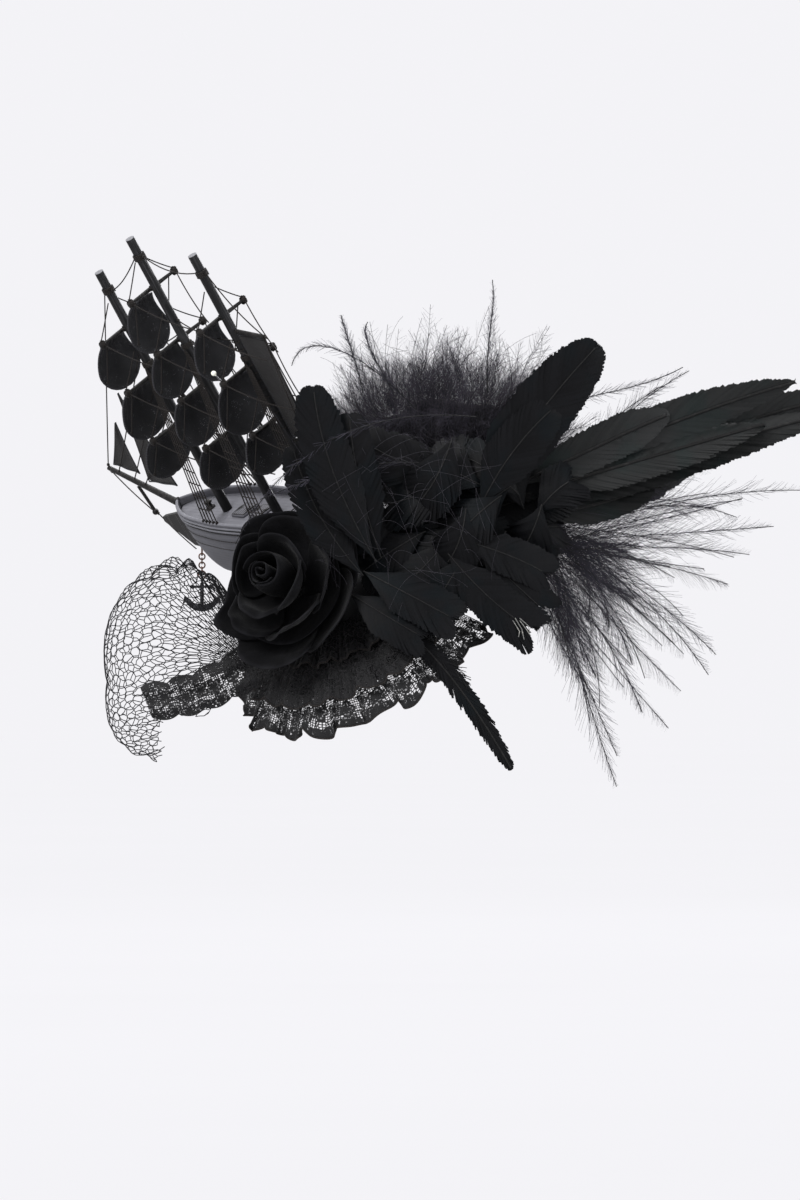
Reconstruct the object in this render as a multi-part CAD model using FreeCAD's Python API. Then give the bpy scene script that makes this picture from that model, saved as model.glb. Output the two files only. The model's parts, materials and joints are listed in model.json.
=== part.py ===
import FreeCAD, Part
import math
import os

# Fascinator headpiece: a small domed hat base carrying a three-masted ship, a fabric rose,
# a net veil, lace and feathers. Millimetres, +Z up, -X towards the wearer's face and
# -Y towards the wearer's left. The origin is the middle of the base's underside.

V = FreeCAD.Vector

# ---- driving dimensions -------------------------------------------------------------
HEAD_R = 90.0               # radius of the crown that the base sits on
HEAD_CENTRE = V(40.5, 42.2, -68.4)
LINING_T = 0.8
FORM_T = 2.2
COVER_T = 1.0
BASE_ANGLE = 32.0           # polar half angle of the base, degrees
WIRE_R = 0.8                # edge wire
BINDING_ANGLE = 34.2        # where the binding ends
BINDING_STEP = 0.6          # how far the binding stands above the cover

CLIP_SPREAD = 20.0          # each clip's polar angle from the middle of the base
CLIP_LENGTH = 40.0
CLIP_WIDTH = 8.0
CLIP_SHEET = 0.6
CLIP_DROP = 2.6             # clip's top face below the lining at the clip's middle
PIN_R = 0.85
PIN_CLEARANCE = 0.05
PIN_X = -6.0
PIN_Z = -6.0
SPRING_WIRE_R = 0.25
SPRING_LENGTH = 3.8

SHIP_STEM = V(-76.9, 103.0, 41.5)       # head of the stem, at deck level
SHIP_BOW = V(-0.538, 0.841, 0.054)      # direction of the bow
SHIP_UP = V(-0.447, -0.340, 0.828)      # direction of the masts
HULL_LENGTH = 152.0
HULL_STATIONS = [(0, 1.0, 3), (6, 5.5, 22), (14, 9.5, 30), (40, 15, 30), (80, 16, 27),
                 (115, 15, 24), (140, 12.5, 21), (HULL_LENGTH, 11, 18)]  # aft, half beam, depth
RAIL_T = 1.2
RAIL_HEIGHT = 4.5
DECK_T = 1.0
MAST_R = 2.3
MAST_TOP_R = 2.1
MASTS = {"foremast": (40.3, 130.4), "mainmast": (84.1, 150.5), "mizzenmast": (131.3, 143.7)}
BAND_DROP = 11.0            # bands below each mast's top
BAND_HEIGHT = 2.4
YARD_R = 1.1
KNOB_R = 1.7
LINE_R = 0.35               # rigging thread
BOWSPRIT_TIP = (-47.2, 18.8)            # aft, up

# name: (mast, height of its middle, half width, height, forward of the mast)
SAILS = {
    "fore_topgallant": ("foremast", 86.0, 11.5, 25.0, 16.0),
    "fore_topsail": ("foremast", 59.5, 12.5, 26.0, 17.0),
    "fore_course": ("foremast", 36.0, 13.0, 21.0, 16.0),
    "main_royal": ("mainmast", 109.0, 10.5, 27.0, 15.0),
    "main_topgallant": ("mainmast", 83.0, 11.5, 24.0, 16.0),
    "main_topsail": ("mainmast", 58.0, 12.5, 25.0, 17.0),
    "main_course": ("mainmast", 33.5, 13.0, 23.0, 16.0),
    "mizzen_topgallant": ("mizzenmast", 96.0, 10.5, 26.0, 17.0),
    "mizzen_topsail": ("mizzenmast", 68.5, 13.5, 28.0, 18.0),
    "mizzen_course": ("mizzenmast", 43.5, 12.5, 22.0, 16.0),
}
SAIL_T = 0.7
SAIL_BOWL_R = 20.0          # the spoon-shaped sails are parts of a sphere
SAIL_TO_PORT = 7.0          # the wind carries the sails to port

CHAIN_LINKS = 4
LINK_R = 1.35
LINK_WIRE = 0.33
EYE_R = 1.5
EYE_WIRE = 0.4
RING_GAP = 0.05             # play between rings that hang in each other
JUMP_R = 1.7
JUMP_WIRE = 0.35
ANCHOR_EYE_R = 1.5
ANCHOR_EYE_WIRE = 0.5
SHANK_R = 0.9
SHANK_LENGTH = 13.5
ARM_R = 8.6
ARM_T = 2.0
STOCK_R = 0.6
STOCK_LENGTH = 9.0

ROSE_BACK = V(-22.0, -19.0, 1.5)
ROSE_AXIS = V(-0.5, -0.8, 0.3)
PETAL_T = 1.2
PETAL_GAP = 2.0             # degrees between neighbouring petals
# name: (petals, first degree, inner radius, inner height, outer radius, outer height, sag)
PETAL_RINGS = {
    "rose_outer_petals": (5, 0, 6.5, 2.5, 37.0, 19.0, 5.0),
    "rose_middle_petals": (5, 36, 6.0, 7.5, 25.0, 30.0, 5.0),
    "rose_inner_petals": (3, 10, 5.0, 13.0, 14.0, 35.0, 3.5),
}
BUD_PROFILE = [(0, 16), (4.0, 19), (5.4, 25), (4.2, 33), (0, 38)]       # radius, height

VEIL_CENTRE = V(-62.0, 30.0, -25.0)
VEIL_AXIS = V(-0.93, 0.30, -0.20)
VEIL_R = 50.0
VEIL_ANGLE = 78.0           # the net spreads this far round its axis, degrees
NET_T = 0.6
FLAP_Y = -17.0
LACE_T = 0.8

# mound feathers, the hindmost first: quill X and Z, tip X and Z, width
MOUND = [(60, 40, 14, 78, 30), (66, 36, 22, 50, 30), (52, 66, 16, 20, 28),
         (70, 60, 30, 32, 28), (64, 44, 34, 8, 26), (46, 84, 30, 48, 26)]
MOUND_DEPTH = 28.0
MOUND_STEP = 3.0


# ---- helpers ------------------------------------------------------------------------
def frame(origin, x_axis, z_axis):
    """A placement whose Z runs along z_axis and whose X is as near x_axis as it can be."""
    z = V(z_axis)
    z.normalize()
    x = V(x_axis) - z * z.dot(V(x_axis))
    x.normalize()
    y = z.cross(x)
    return FreeCAD.Placement(FreeCAD.Matrix(
        x.x, y.x, z.x, origin.x,
        x.y, y.y, z.y, origin.y,
        x.z, y.z, z.z, origin.z,
        0, 0, 0, 1))


def put(shape, placement):
    """A copy of a shape that was drawn in a placement's own axes."""
    moved = shape.copy()
    moved.Placement = placement.multiply(shape.Placement)
    return moved


def polygon(points):
    return Part.Face(Part.makePolygon(list(points) + [points[0]]))


def prism(points, direction):
    return polygon(points).extrude(direction)


def rod(start, end, radius, end_radius=None):
    """A round bar between two points, straight or tapered."""
    run = end - start
    if end_radius is None:
        return Part.makeCylinder(radius, run.Length, start, run)
    return Part.makeCone(radius, end_radius, run.Length, start, run)


def ring(radius, wire, centre, axis):
    return Part.makeTorus(radius, wire, centre, axis)


def polar(radius, angle):
    """A point of the XZ plane, at an angle from +Z."""
    return V(radius * math.sin(math.radians(angle)), 0, radius * math.cos(math.radians(angle)))


def shell_band(inner, outer, low, high, sweep=360.0):
    """Part of a spherical shell about the origin, between two polar angles."""
    middle = (low + high) / 2
    edges = [Part.LineSegment(polar(inner, low), polar(outer, low)).toShape(),
             Part.Arc(polar(outer, low), polar(outer, middle), polar(outer, high)).toShape(),
             Part.LineSegment(polar(outer, high), polar(inner, high)).toShape(),
             Part.Arc(polar(inner, high), polar(inner, middle), polar(inner, low)).toShape()]
    return Part.Face(Part.Wire(edges)).revolve(V(0, 0, 0), V(0, 0, 1), sweep)


def leaf(base, tip, width, facing, sag=0.0, thickness=0.8, fullness=0.55):
    """A feather: a leaf outline, bent so that its ends lie sag behind its middle."""
    length = (tip - base).Length
    half = width / 2
    widest = length * fullness
    side = []
    for sign in (1, -1):
        side.append(Part.Arc(V(0, 0, 0), V(widest, sign * half, 0), V(length, 0, 0)).toShape())
    outline = Part.Face(Part.Wire([side[0], side[1].reversed()]))
    if sag <= 0:
        blade = outline.extrude(V(0, 0, thickness))
    else:
        bend = (length / 2) ** 2 / (2 * sag) + sag / 2
        centre = V(length / 2, -width, -bend)
        tall = outline.extrude(V(0, 0, 2 * sag + 4 * thickness))
        tall.translate(V(0, 0, -2 * sag - 2 * thickness))
        outside = Part.makeCylinder(bend + thickness, 2 * width, centre, V(0, 1, 0))
        inside = Part.makeCylinder(bend, 2 * width, centre, V(0, 1, 0))
        blade = tall.common(outside.cut(inside))
    return put(blade, frame(base, tip - base, facing))


def save(name, solids):
    """Write one node, as one solid or as a group of separate solids."""
    group = solids if isinstance(solids, list) else [solids]
    pieces = []
    for shape in group:
        pieces.extend(shape.Solids)
    shape = pieces[0] if len(pieces) == 1 else Part.makeCompound(pieces)
    shape.exportStep("parts/" + name + ".step")
    print(name, len(pieces), "solids", round(shape.Volume, 1), "mm3")
    return shape


os.makedirs("parts", exist_ok=True)
nodes = {}
OUT = V(HEAD_CENTRE) * -1.0
OUT.normalize()                                       # out of the head at the base's middle
LEVEL = OUT.cross(V(0, 0, 1)) * -1.0                  # level and along the base
DOME = frame(HEAD_CENTRE, LEVEL, OUT)
SHIP = frame(SHIP_STEM, SHIP_BOW * -1.0, SHIP_UP)     # X aft, Y to starboard, Z up the masts
BASE_TOP_R = HEAD_R + LINING_T + FORM_T + COVER_T


# ---- base ---------------------------------------------------------------------------
def make_base():
    lining_top = HEAD_R + LINING_T
    form_top = lining_top + FORM_T
    wire_angle = BASE_ANGLE + 1.1
    wire_centre = polar((HEAD_R + BASE_TOP_R) / 2, wire_angle)
    wire = ring(wire_centre.x, WIRE_R, V(0, 0, wire_centre.z), V(0, 0, 1))
    binding = shell_band(HEAD_R + 0.2, BASE_TOP_R + BINDING_STEP, BASE_ANGLE + 0.05,
                         BINDING_ANGLE)
    nodes["base_lining"] = put(shell_band(HEAD_R, lining_top, 0, BASE_ANGLE), DOME)
    nodes["base_form"] = put(shell_band(lining_top, form_top, 0, BASE_ANGLE), DOME)
    nodes["base_cover"] = put(shell_band(form_top, BASE_TOP_R, 0, BASE_ANGLE), DOME)
    nodes["edge_wire"] = put(wire, DOME)
    nodes["edge_binding"] = put(binding.cut(wire), DOME)


# ---- clips under the base -----------------------------------------------------------
def clip_plate():
    """Fixed upper arm with two ears that hold the pin."""
    half = CLIP_LENGTH / 2
    top = -CLIP_DROP
    plate = Part.makeBox(CLIP_LENGTH, CLIP_WIDTH, CLIP_SHEET, V(-half, -CLIP_WIDTH / 2, top - CLIP_SHEET))
    for side in (-CLIP_WIDTH / 2, CLIP_WIDTH / 2 - CLIP_SHEET):
        ear = Part.makeBox(5.0, CLIP_SHEET, -PIN_Z + 1.6 - CLIP_DROP, V(PIN_X - 2.5, side, PIN_Z - 1.6))
        plate = plate.fuse(ear)
    hole = Part.makeCylinder(PIN_R, CLIP_WIDTH + 4, V(PIN_X, -CLIP_WIDTH / 2 - 2, PIN_Z), V(0, 1, 0))
    return plate.cut(hole).removeSplitter()


def clip_jaw():
    """Moving lower arm: a bar with two ears inside the plate's ears and a toothed tip."""
    half = CLIP_LENGTH / 2
    width = CLIP_WIDTH - 2 * CLIP_SHEET - 0.6
    floor = PIN_Z - 2.6
    jaw = Part.makeBox(CLIP_LENGTH - 2, width, CLIP_SHEET, V(2 - half, -width / 2, floor))
    for side in (-width / 2, width / 2 - CLIP_SHEET):
        ear = Part.makeBox(3.6, CLIP_SHEET, 4.0, V(PIN_X - 1.8, side, floor))
        jaw = jaw.fuse(ear)
    reach = -CLIP_DROP - CLIP_SHEET - 0.2 - floor
    for step in range(4):
        tooth = Part.makeBox(0.8, width, reach, V(half - 0.8 - step * 1.8, -width / 2, floor))
        jaw = jaw.fuse(tooth)
    hole = Part.makeCylinder(PIN_R + PIN_CLEARANCE, CLIP_WIDTH, V(PIN_X, -CLIP_WIDTH / 2, PIN_Z), V(0, 1, 0))
    return jaw.cut(hole).removeSplitter()


def clip_spring():
    """The close-wound turns of the torsion spring as one sleeve round the pin."""
    inner_r = PIN_R + 0.4
    sleeve = Part.makeCylinder(inner_r + 2 * SPRING_WIRE_R, SPRING_LENGTH)
    sleeve = sleeve.cut(Part.makeCylinder(inner_r, SPRING_LENGTH))
    return put(sleeve, frame(V(PIN_X, -SPRING_LENGTH / 2, PIN_Z), V(1, 0, 0), V(0, 1, 0)))


def make_clips():
    pin = Part.makeCylinder(PIN_R, CLIP_WIDTH + 0.8, V(PIN_X, -CLIP_WIDTH / 2 - 0.4, PIN_Z), V(0, 1, 0))
    plates, pins, springs = [], [], []
    for name, side in (("front_clip_jaw", -1), ("back_clip_jaw", 1)):
        angle = math.radians(side * CLIP_SPREAD)
        outward = V(math.sin(angle), 0, math.cos(angle))
        seat = DOME.multiply(frame(outward * HEAD_R, V(0, 1, 0), outward))
        plates.append(put(clip_plate(), seat))
        pins.append(put(pin, seat))
        springs.append(put(clip_spring(), seat))
        nodes[name] = put(clip_jaw(), seat)
        print(name, "pin at", seat.multVec(V(PIN_X, 0, PIN_Z)), "axis", seat.Rotation.multVec(V(0, 1, 0)))
    nodes["clip_plates"] = plates
    nodes["clip_pins"] = pins
    nodes["clip_springs"] = springs


# ---- ship ---------------------------------------------------------------------------
def half_beams(inset):
    """Deck outline: aft and half-beam pairs, from the stem to the stern."""
    pairs = []
    for aft, beam, _ in HULL_STATIONS:
        pairs.append((aft, max(beam - inset, 0.4)))
    first, last = pairs[0], pairs[-1]
    pairs[0] = (first[0] + 2 * inset, first[1])
    pairs[-1] = (last[0] - inset, last[1])
    return pairs


def deck_prism(inset, low, high):
    pairs = half_beams(inset)
    port = Part.BSplineCurve()
    port.interpolate([V(aft, -beam, low) for aft, beam in pairs])
    starboard = Part.BSplineCurve()
    starboard.interpolate([V(aft, beam, low) for aft, beam in reversed(pairs)])
    bow_port, stern_port = V(pairs[0][0], -pairs[0][1], low), V(pairs[-1][0], -pairs[-1][1], low)
    bow_starboard, stern_starboard = V(bow_port.x, -bow_port.y, low), V(stern_port.x, -stern_port.y, low)
    edges = [port.toShape(), Part.LineSegment(stern_port, stern_starboard).toShape(),
             starboard.toShape(), Part.LineSegment(bow_starboard, bow_port).toShape()]
    return Part.Face(Part.Wire(edges)).extrude(V(0, 0, high - low))


def hull_solid():
    sections = []
    for aft, beam, depth in HULL_STATIONS:
        skin = Part.BSplineCurve()
        skin.interpolate([V(aft, -beam, 0), V(aft, -0.86 * beam, -0.5 * depth), V(aft, 0, -depth),
                          V(aft, 0.86 * beam, -0.5 * depth), V(aft, beam, 0)])
        lid = Part.LineSegment(V(aft, beam, 0), V(aft, -beam, 0)).toShape()
        sections.append(Part.Wire([skin.toShape(), lid]))
    return Part.makeLoft(sections, True, False)


def mast_radius(mast, height):
    length = MASTS[mast][1]
    return MAST_R + (MAST_TOP_R - MAST_R) * (height - DECK_T) / (length - DECK_T)


def mast(name):
    aft, length = MASTS[name]
    return rod(V(aft, 0, DECK_T), V(aft, 0, length), MAST_R, MAST_TOP_R)


def mast_band(name):
    aft, length = MASTS[name]
    low = length - BAND_DROP
    hoop = Part.makeCylinder(MAST_TOP_R + 0.9, BAND_HEIGHT, V(aft, 0, low))
    return hoop.cut(mast(name))


def yard(mast_name, height, half_length):
    """A yard across the front of its mast, with a knob at each end."""
    aft = MASTS[mast_name][0] - mast_radius(mast_name, height) - YARD_R - 0.02
    bar = Part.makeCylinder(YARD_R, 2 * half_length, V(aft, -half_length, height), V(0, 1, 0))
    for side in (-1, 1):
        bar = bar.fuse(Part.makeSphere(KNOB_R, V(aft, side * half_length, height)))
    return bar.removeSplitter()


def sail(mast_name, middle, half_width, height, forward):
    """A spoon-shaped sail, narrow at its yard and round at its foot, hollow side aft."""
    top_half = half_width * 0.62
    top = height - half_width
    foot = Part.Arc(V(0, half_width, 0), V(0, 0, -half_width), V(0, -half_width, 0)).toShape()
    corners = [V(0, -half_width, 0), V(0, -top_half, top), V(0, top_half, top), V(0, half_width, 0)]
    edges = [foot]
    for start, end in zip(corners, corners[1:]):
        edges.append(Part.LineSegment(start, end).toShape())
    outline = Part.Face(Part.Wire(edges)).extrude(V(SAIL_BOWL_R, 0, 0))
    bowl_centre = V(SAIL_BOWL_R, 0, (top - half_width) / 2)
    bowl = Part.makeSphere(SAIL_BOWL_R, bowl_centre).cut(Part.makeSphere(SAIL_BOWL_R - SAIL_T, bowl_centre))
    cloth = bowl.common(outline)
    cloth.translate(V(0, 0, (half_width - top) / 2))
    lean = FreeCAD.Rotation(V(0, 1, 0), 10)
    place = FreeCAD.Placement(V(MASTS[mast_name][0] - forward, -SAIL_TO_PORT, middle), lean)
    return put(cloth, place)


def plate_sail(corners, thickness=SAIL_T):
    """A flat fore-and-aft sail from aft and up pairs, centred on the ship's middle plane."""
    return prism([V(aft, -thickness / 2, up) for aft, up in corners], V(0, thickness, 0))


def make_ship():
    hull = hull_solid()
    stem_knee = prism([V(3, -1.1, -1.5), V(-20.6, -1.1, -6.0), V(-20.6, -1.1, -8.6), V(-4.5, -1.1, -20.5),
                       V(8, -1.1, -22)], V(0, 2.2, 0))
    ship = {"hull": hull,
            "deck": deck_prism(RAIL_T, 0, DECK_T),
            "bulwark_rail": deck_prism(0, 0, RAIL_HEIGHT).cut(deck_prism(RAIL_T, -1, RAIL_HEIGHT + 1)),
            "beakhead": stem_knee.cut(hull),
            "bowsprit": rod(V(-1.8, 0, 2.6), V(BOWSPRIT_TIP[0], 0, BOWSPRIT_TIP[1]), 1.7, 1.1)}
    for name in MASTS:
        ship[name] = mast(name)
    ship["mast_bands"] = [mast_band(name) for name in MASTS]
    ship["yards"] = []
    for name, (mast_name, middle, half_width, height, forward) in SAILS.items():
        ship[name] = sail(mast_name, middle, half_width, height, forward)
        ship["yards"].append(yard(mast_name, middle + height / 2 + 1.5, half_width * 0.62 + 7))
    spanker_aft = MASTS["mizzenmast"][0] + MAST_R + 0.3
    boom = rod(V(spanker_aft, 0, 44), V(spanker_aft + 17, 0, 47), 1.0)
    gaff = rod(V(spanker_aft, 0, 103), V(spanker_aft + 22, 0, 101), 1.0)
    ship["spanker_spars"] = [boom, gaff]
    ship["spanker_sail"] = plate_sail([(spanker_aft + 0.5, 101.5), (spanker_aft + 21, 99.5),
                                       (spanker_aft + 22, 72), (spanker_aft + 16, 48.5),
                                       (spanker_aft + 0.5, 46)])
    ship["jibs"] = [plate_sail([(-41, 21), (-19, 45), (-22, 17)]),
                    plate_sail([(-17, 13), (-2, 62), (6, 12)])]
    tip_aft, tip_up = BOWSPRIT_TIP
    striker_aft, striker_up = tip_aft * 0.62, tip_up * 0.62 - 1.8
    spike = rod(V(striker_aft, 0, striker_up), V(striker_aft + 3.0, 0, striker_up - 14), 0.8)
    ship["dolphin_striker"] = spike.fuse(Part.makeSphere(1.5, V(striker_aft + 3.0, 0, striker_up - 14)))
    ship["stays"] = make_stays(tip_aft, tip_up)
    ship["shrouds"] = make_shrouds()
    pin_foot, pin_head = V(127.9, -15.4, 85.8), V(126.0, -16.0, 90.5)
    ship["bead_pin"] = rod(pin_foot, pin_head, 0.35).fuse(Part.makeSphere(1.2, pin_head))
    for name, shape in ship.items():
        if isinstance(shape, list):
            nodes[name] = [put(one, SHIP) for one in shape]
        else:
            nodes[name] = put(shape, SHIP)
    dome = Part.makeSphere(BASE_TOP_R, HEAD_CENTRE)
    posts = []
    for aft in (95, 130):
        post = put(Part.makeCylinder(1.5, 20, V(aft, 0, -36)), SHIP)
        posts.append(post.cut(dome).cut(nodes["hull"]))
    nodes["ship_posts"] = posts


def mast_point(name, drop, side):
    """A point just off a mast's surface; side is +1 aft and -1 forward."""
    aft, length = MASTS[name]
    return V(aft + side * (MAST_R + LINE_R + 0.9), 0, length - drop)


def make_stays(tip_aft, tip_up):
    """Threads in the ship's middle plane, from mast to mast and to the bowsprit."""
    below_band = BAND_DROP - BAND_HEIGHT / 2
    lines = [(V(tip_aft + 1, 0, tip_up + 1.8), mast_point("foremast", below_band, -1)),
             (mast_point("foremast", below_band, 1), mast_point("mainmast", below_band, -1)),
             (mast_point("mainmast", below_band, 1), mast_point("mizzenmast", below_band, -1)),
             (mast_point("mizzenmast", below_band, 1),
              V(MASTS["mizzenmast"][0] + 26.5, 0, 100)),
             (V(tip_aft + 1, 0, tip_up - 2.0), V(tip_aft * 0.62 + 1.2, 0, tip_up * 0.62 - 15)),
             (V(tip_aft * 0.62 + 4.8, 0, tip_up * 0.62 - 16.5), V(-7.5, 0, -23.5))]
    return [rod(start, end, LINE_R) for start, end in lines]


def make_shrouds():
    """Threads from each mast's upper part down to the rail on both sides."""
    lines = []
    beams = [(aft, beam) for aft, beam, _ in HULL_STATIONS]
    for name, (aft, length) in MASTS.items():
        top = length * 0.62
        for step in range(3):
            foot_aft = aft + 4 + 4 * step
            low = max(pair for pair in beams if pair[0] <= foot_aft)
            high = min(pair for pair in beams if pair[0] > foot_aft)
            beam = low[1] + (high[1] - low[1]) * (foot_aft - low[0]) / (high[0] - low[0])
            for side in (-1, 1):
                start = V(aft + 1.2 + 0.8 * step, side * (MAST_R + 0.9), top - 2 * step)
                lines.append(rod(start, V(foot_aft, side * (beam - 0.6), RAIL_HEIGHT + 0.4), LINE_R))
    return lines


# ---- anchor and chain ---------------------------------------------------------------
def anchor_solid(top):
    """Flat charm anchor that hangs from the middle of its own eye."""
    crown = top - V(0, 0, SHANK_LENGTH)
    shank = rod(top - V(0, 0, ANCHOR_EYE_R), crown, SHANK_R)
    eye = ring(ANCHOR_EYE_R, ANCHOR_EYE_WIRE, top, V(1, 0, 0))
    pivot = crown + V(0, 0, ARM_R - 1.0)
    reach = math.radians(62)

    def on_arc(radius, angle, lift=0.0):
        return pivot + V(radius * math.sin(angle), -ARM_T / 2, lift - radius * math.cos(angle))

    inner_lift = 1.0
    outer = Part.Arc(on_arc(ARM_R, -reach), on_arc(ARM_R, 0), on_arc(ARM_R, reach))
    inner = Part.Arc(on_arc(ARM_R - 1.2, reach, inner_lift), on_arc(ARM_R - 2.2, 0, inner_lift),
                     on_arc(ARM_R - 1.2, -reach, inner_lift))
    edges = [outer.toShape(),
             Part.LineSegment(on_arc(ARM_R, reach), on_arc(ARM_R - 1.2, reach, inner_lift)).toShape(),
             inner.toShape(),
             Part.LineSegment(on_arc(ARM_R - 1.2, -reach, inner_lift), on_arc(ARM_R, -reach)).toShape()]
    arms = Part.Face(Part.Wire(edges)).extrude(V(0, ARM_T, 0))
    body = shank.fuse(eye).fuse(arms)
    for side in (-1, 1):
        tip = on_arc(ARM_R, side * reach) + V(side * 0.4, 0, 2.8)
        fluke = prism([tip, tip + V(side * 0.8, 0, -3.8), tip + V(-side * 3.4, 0, -2.2)], V(0, ARM_T, 0))
        body = body.fuse(fluke)
    return body.removeSplitter()


def make_anchor():
    eye_centre = SHIP.multVec(V(-4.0, 0, -25.0))
    drop = V(0, 0, 1)
    knee = nodes["beakhead"]
    eye = ring(EYE_R, EYE_WIRE, eye_centre, V(1, 0, 0))
    spike = rod(eye_centre + drop * (EYE_R + 0.1), eye_centre + drop * 8, 0.45)
    nodes["anchor_eye"] = eye.fuse(spike.cut(knee).Solids[0]).removeSplitter()
    pivot = eye_centre - drop * EYE_R
    centre = pivot - drop * (LINK_R - LINK_WIRE - EYE_WIRE - RING_GAP)
    links = []
    for number in range(CHAIN_LINKS):
        axis = V(0, 1, 0) if number % 2 == 0 else V(1, 0, 0)
        links.append(ring(LINK_R, LINK_WIRE, centre, axis))
        last = centre
        centre = centre - drop * (2 * LINK_R - 2 * LINK_WIRE - RING_GAP)
    nodes["chain"] = links
    lower_pivot = last - drop * LINK_R
    jump_centre = lower_pivot - drop * (JUMP_R - JUMP_WIRE - LINK_WIRE - RING_GAP)
    nodes["anchor_ring"] = ring(JUMP_R, JUMP_WIRE, jump_centre, V(0, 1, 0))
    top = jump_centre - drop * (JUMP_R + ANCHOR_EYE_R - ANCHOR_EYE_WIRE - JUMP_WIRE - RING_GAP)
    stock_at = top - drop * 3.2
    bar = rod(stock_at - V(STOCK_LENGTH / 2, 0, 0), stock_at + V(STOCK_LENGTH / 2, 0, 0), STOCK_R)
    nodes["anchor"] = anchor_solid(top).cut(bar)
    for side in (-1, 1):
        bar = bar.fuse(Part.makeSphere(0.95, stock_at + V(side * STOCK_LENGTH / 2, 0, 0)))
    nodes["anchor_stock"] = bar.removeSplitter()
    print("chain pivot", pivot, "anchor pivot", lower_pivot)


# ---- rose ---------------------------------------------------------------------------
def petal_ring(count, first, inner_r, inner_z, outer_r, outer_z, sag):
    """A ring of cupped petals: one curved strip turned about the rose's axis, in sectors."""
    start, end = V(inner_r, 0, inner_z), V(outer_r, 0, outer_z)
    across = V(end.z - start.z, 0, start.x - end.x)
    across.normalize()
    middle = (start + end) * 0.5 + across * sag
    shift = across * PETAL_T
    edges = [Part.Arc(start, middle, end).toShape(),
             Part.LineSegment(end, end + shift).toShape(),
             Part.Arc(end + shift, middle + shift, start + shift).toShape(),
             Part.LineSegment(start + shift, start).toShape()]
    strip = Part.Face(Part.Wire(edges))
    sector = 360.0 / count
    petals = []
    for number in range(count):
        petal = strip.revolve(V(0, 0, 0), V(0, 0, 1), sector - PETAL_GAP)
        petal.rotate(V(0, 0, 0), V(0, 0, 1), first + number * sector)
        petals.append(petal)
    return petals


def make_rose():
    seat = frame(ROSE_BACK, V(1, 0, 0), ROSE_AXIS)
    for name, sizes in PETAL_RINGS.items():
        nodes[name] = [put(petal, seat) for petal in petal_ring(*sizes)]
    side = Part.BSplineCurve()
    side.interpolate([V(radius, 0, height) for radius, height in BUD_PROFILE])
    core = Part.LineSegment(V(0, 0, BUD_PROFILE[-1][1]), V(0, 0, BUD_PROFILE[0][1])).toShape()
    bud = Part.Face(Part.Wire([side.toShape(), core])).revolve(V(0, 0, 0), V(0, 0, 1), 360)
    nodes["rose_bud"] = put(bud, seat)
    inward = HEAD_CENTRE - ROSE_BACK
    inward.normalize()
    stem = rod(ROSE_BACK + inward * 1.5, ROSE_BACK + inward * 22, 6.0)
    core = put(Part.makeCylinder(2.5, 15, V(0, 0, 0)), seat)
    stem = stem.fuse(core).cut(Part.makeSphere(BASE_TOP_R, HEAD_CENTRE))
    for name in PETAL_RINGS:
        for petal in nodes[name]:
            stem = stem.cut(petal)
    nodes["rose_stem"] = stem.cut(nodes["rose_bud"])


# ---- veil and lace ------------------------------------------------------------------
def make_veil_and_lace():
    net = shell_band(VEIL_R - NET_T, VEIL_R, 0, VEIL_ANGLE)
    nodes["veil_net"] = put(net, frame(VEIL_CENTRE, V(0, 0, 1), VEIL_AXIS))
    frill = shell_band(HEAD_R + 2.2, HEAD_R + 3.0, BINDING_ANGLE + 0.3, 43.5, 190)
    frill.rotate(V(0, 0, 0), V(0, 0, 1), 175)
    nodes["lace_frill"] = put(frill, DOME)
    flap = [(-93.7, -39), (-91.5, -57), (-73, -64), (-66, -53), (-45, -36), (-52, -24)]
    nodes["lace_flap"] = prism([V(x, FLAP_Y, z) for x, z in flap], V(0, LACE_T, 0))


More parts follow.
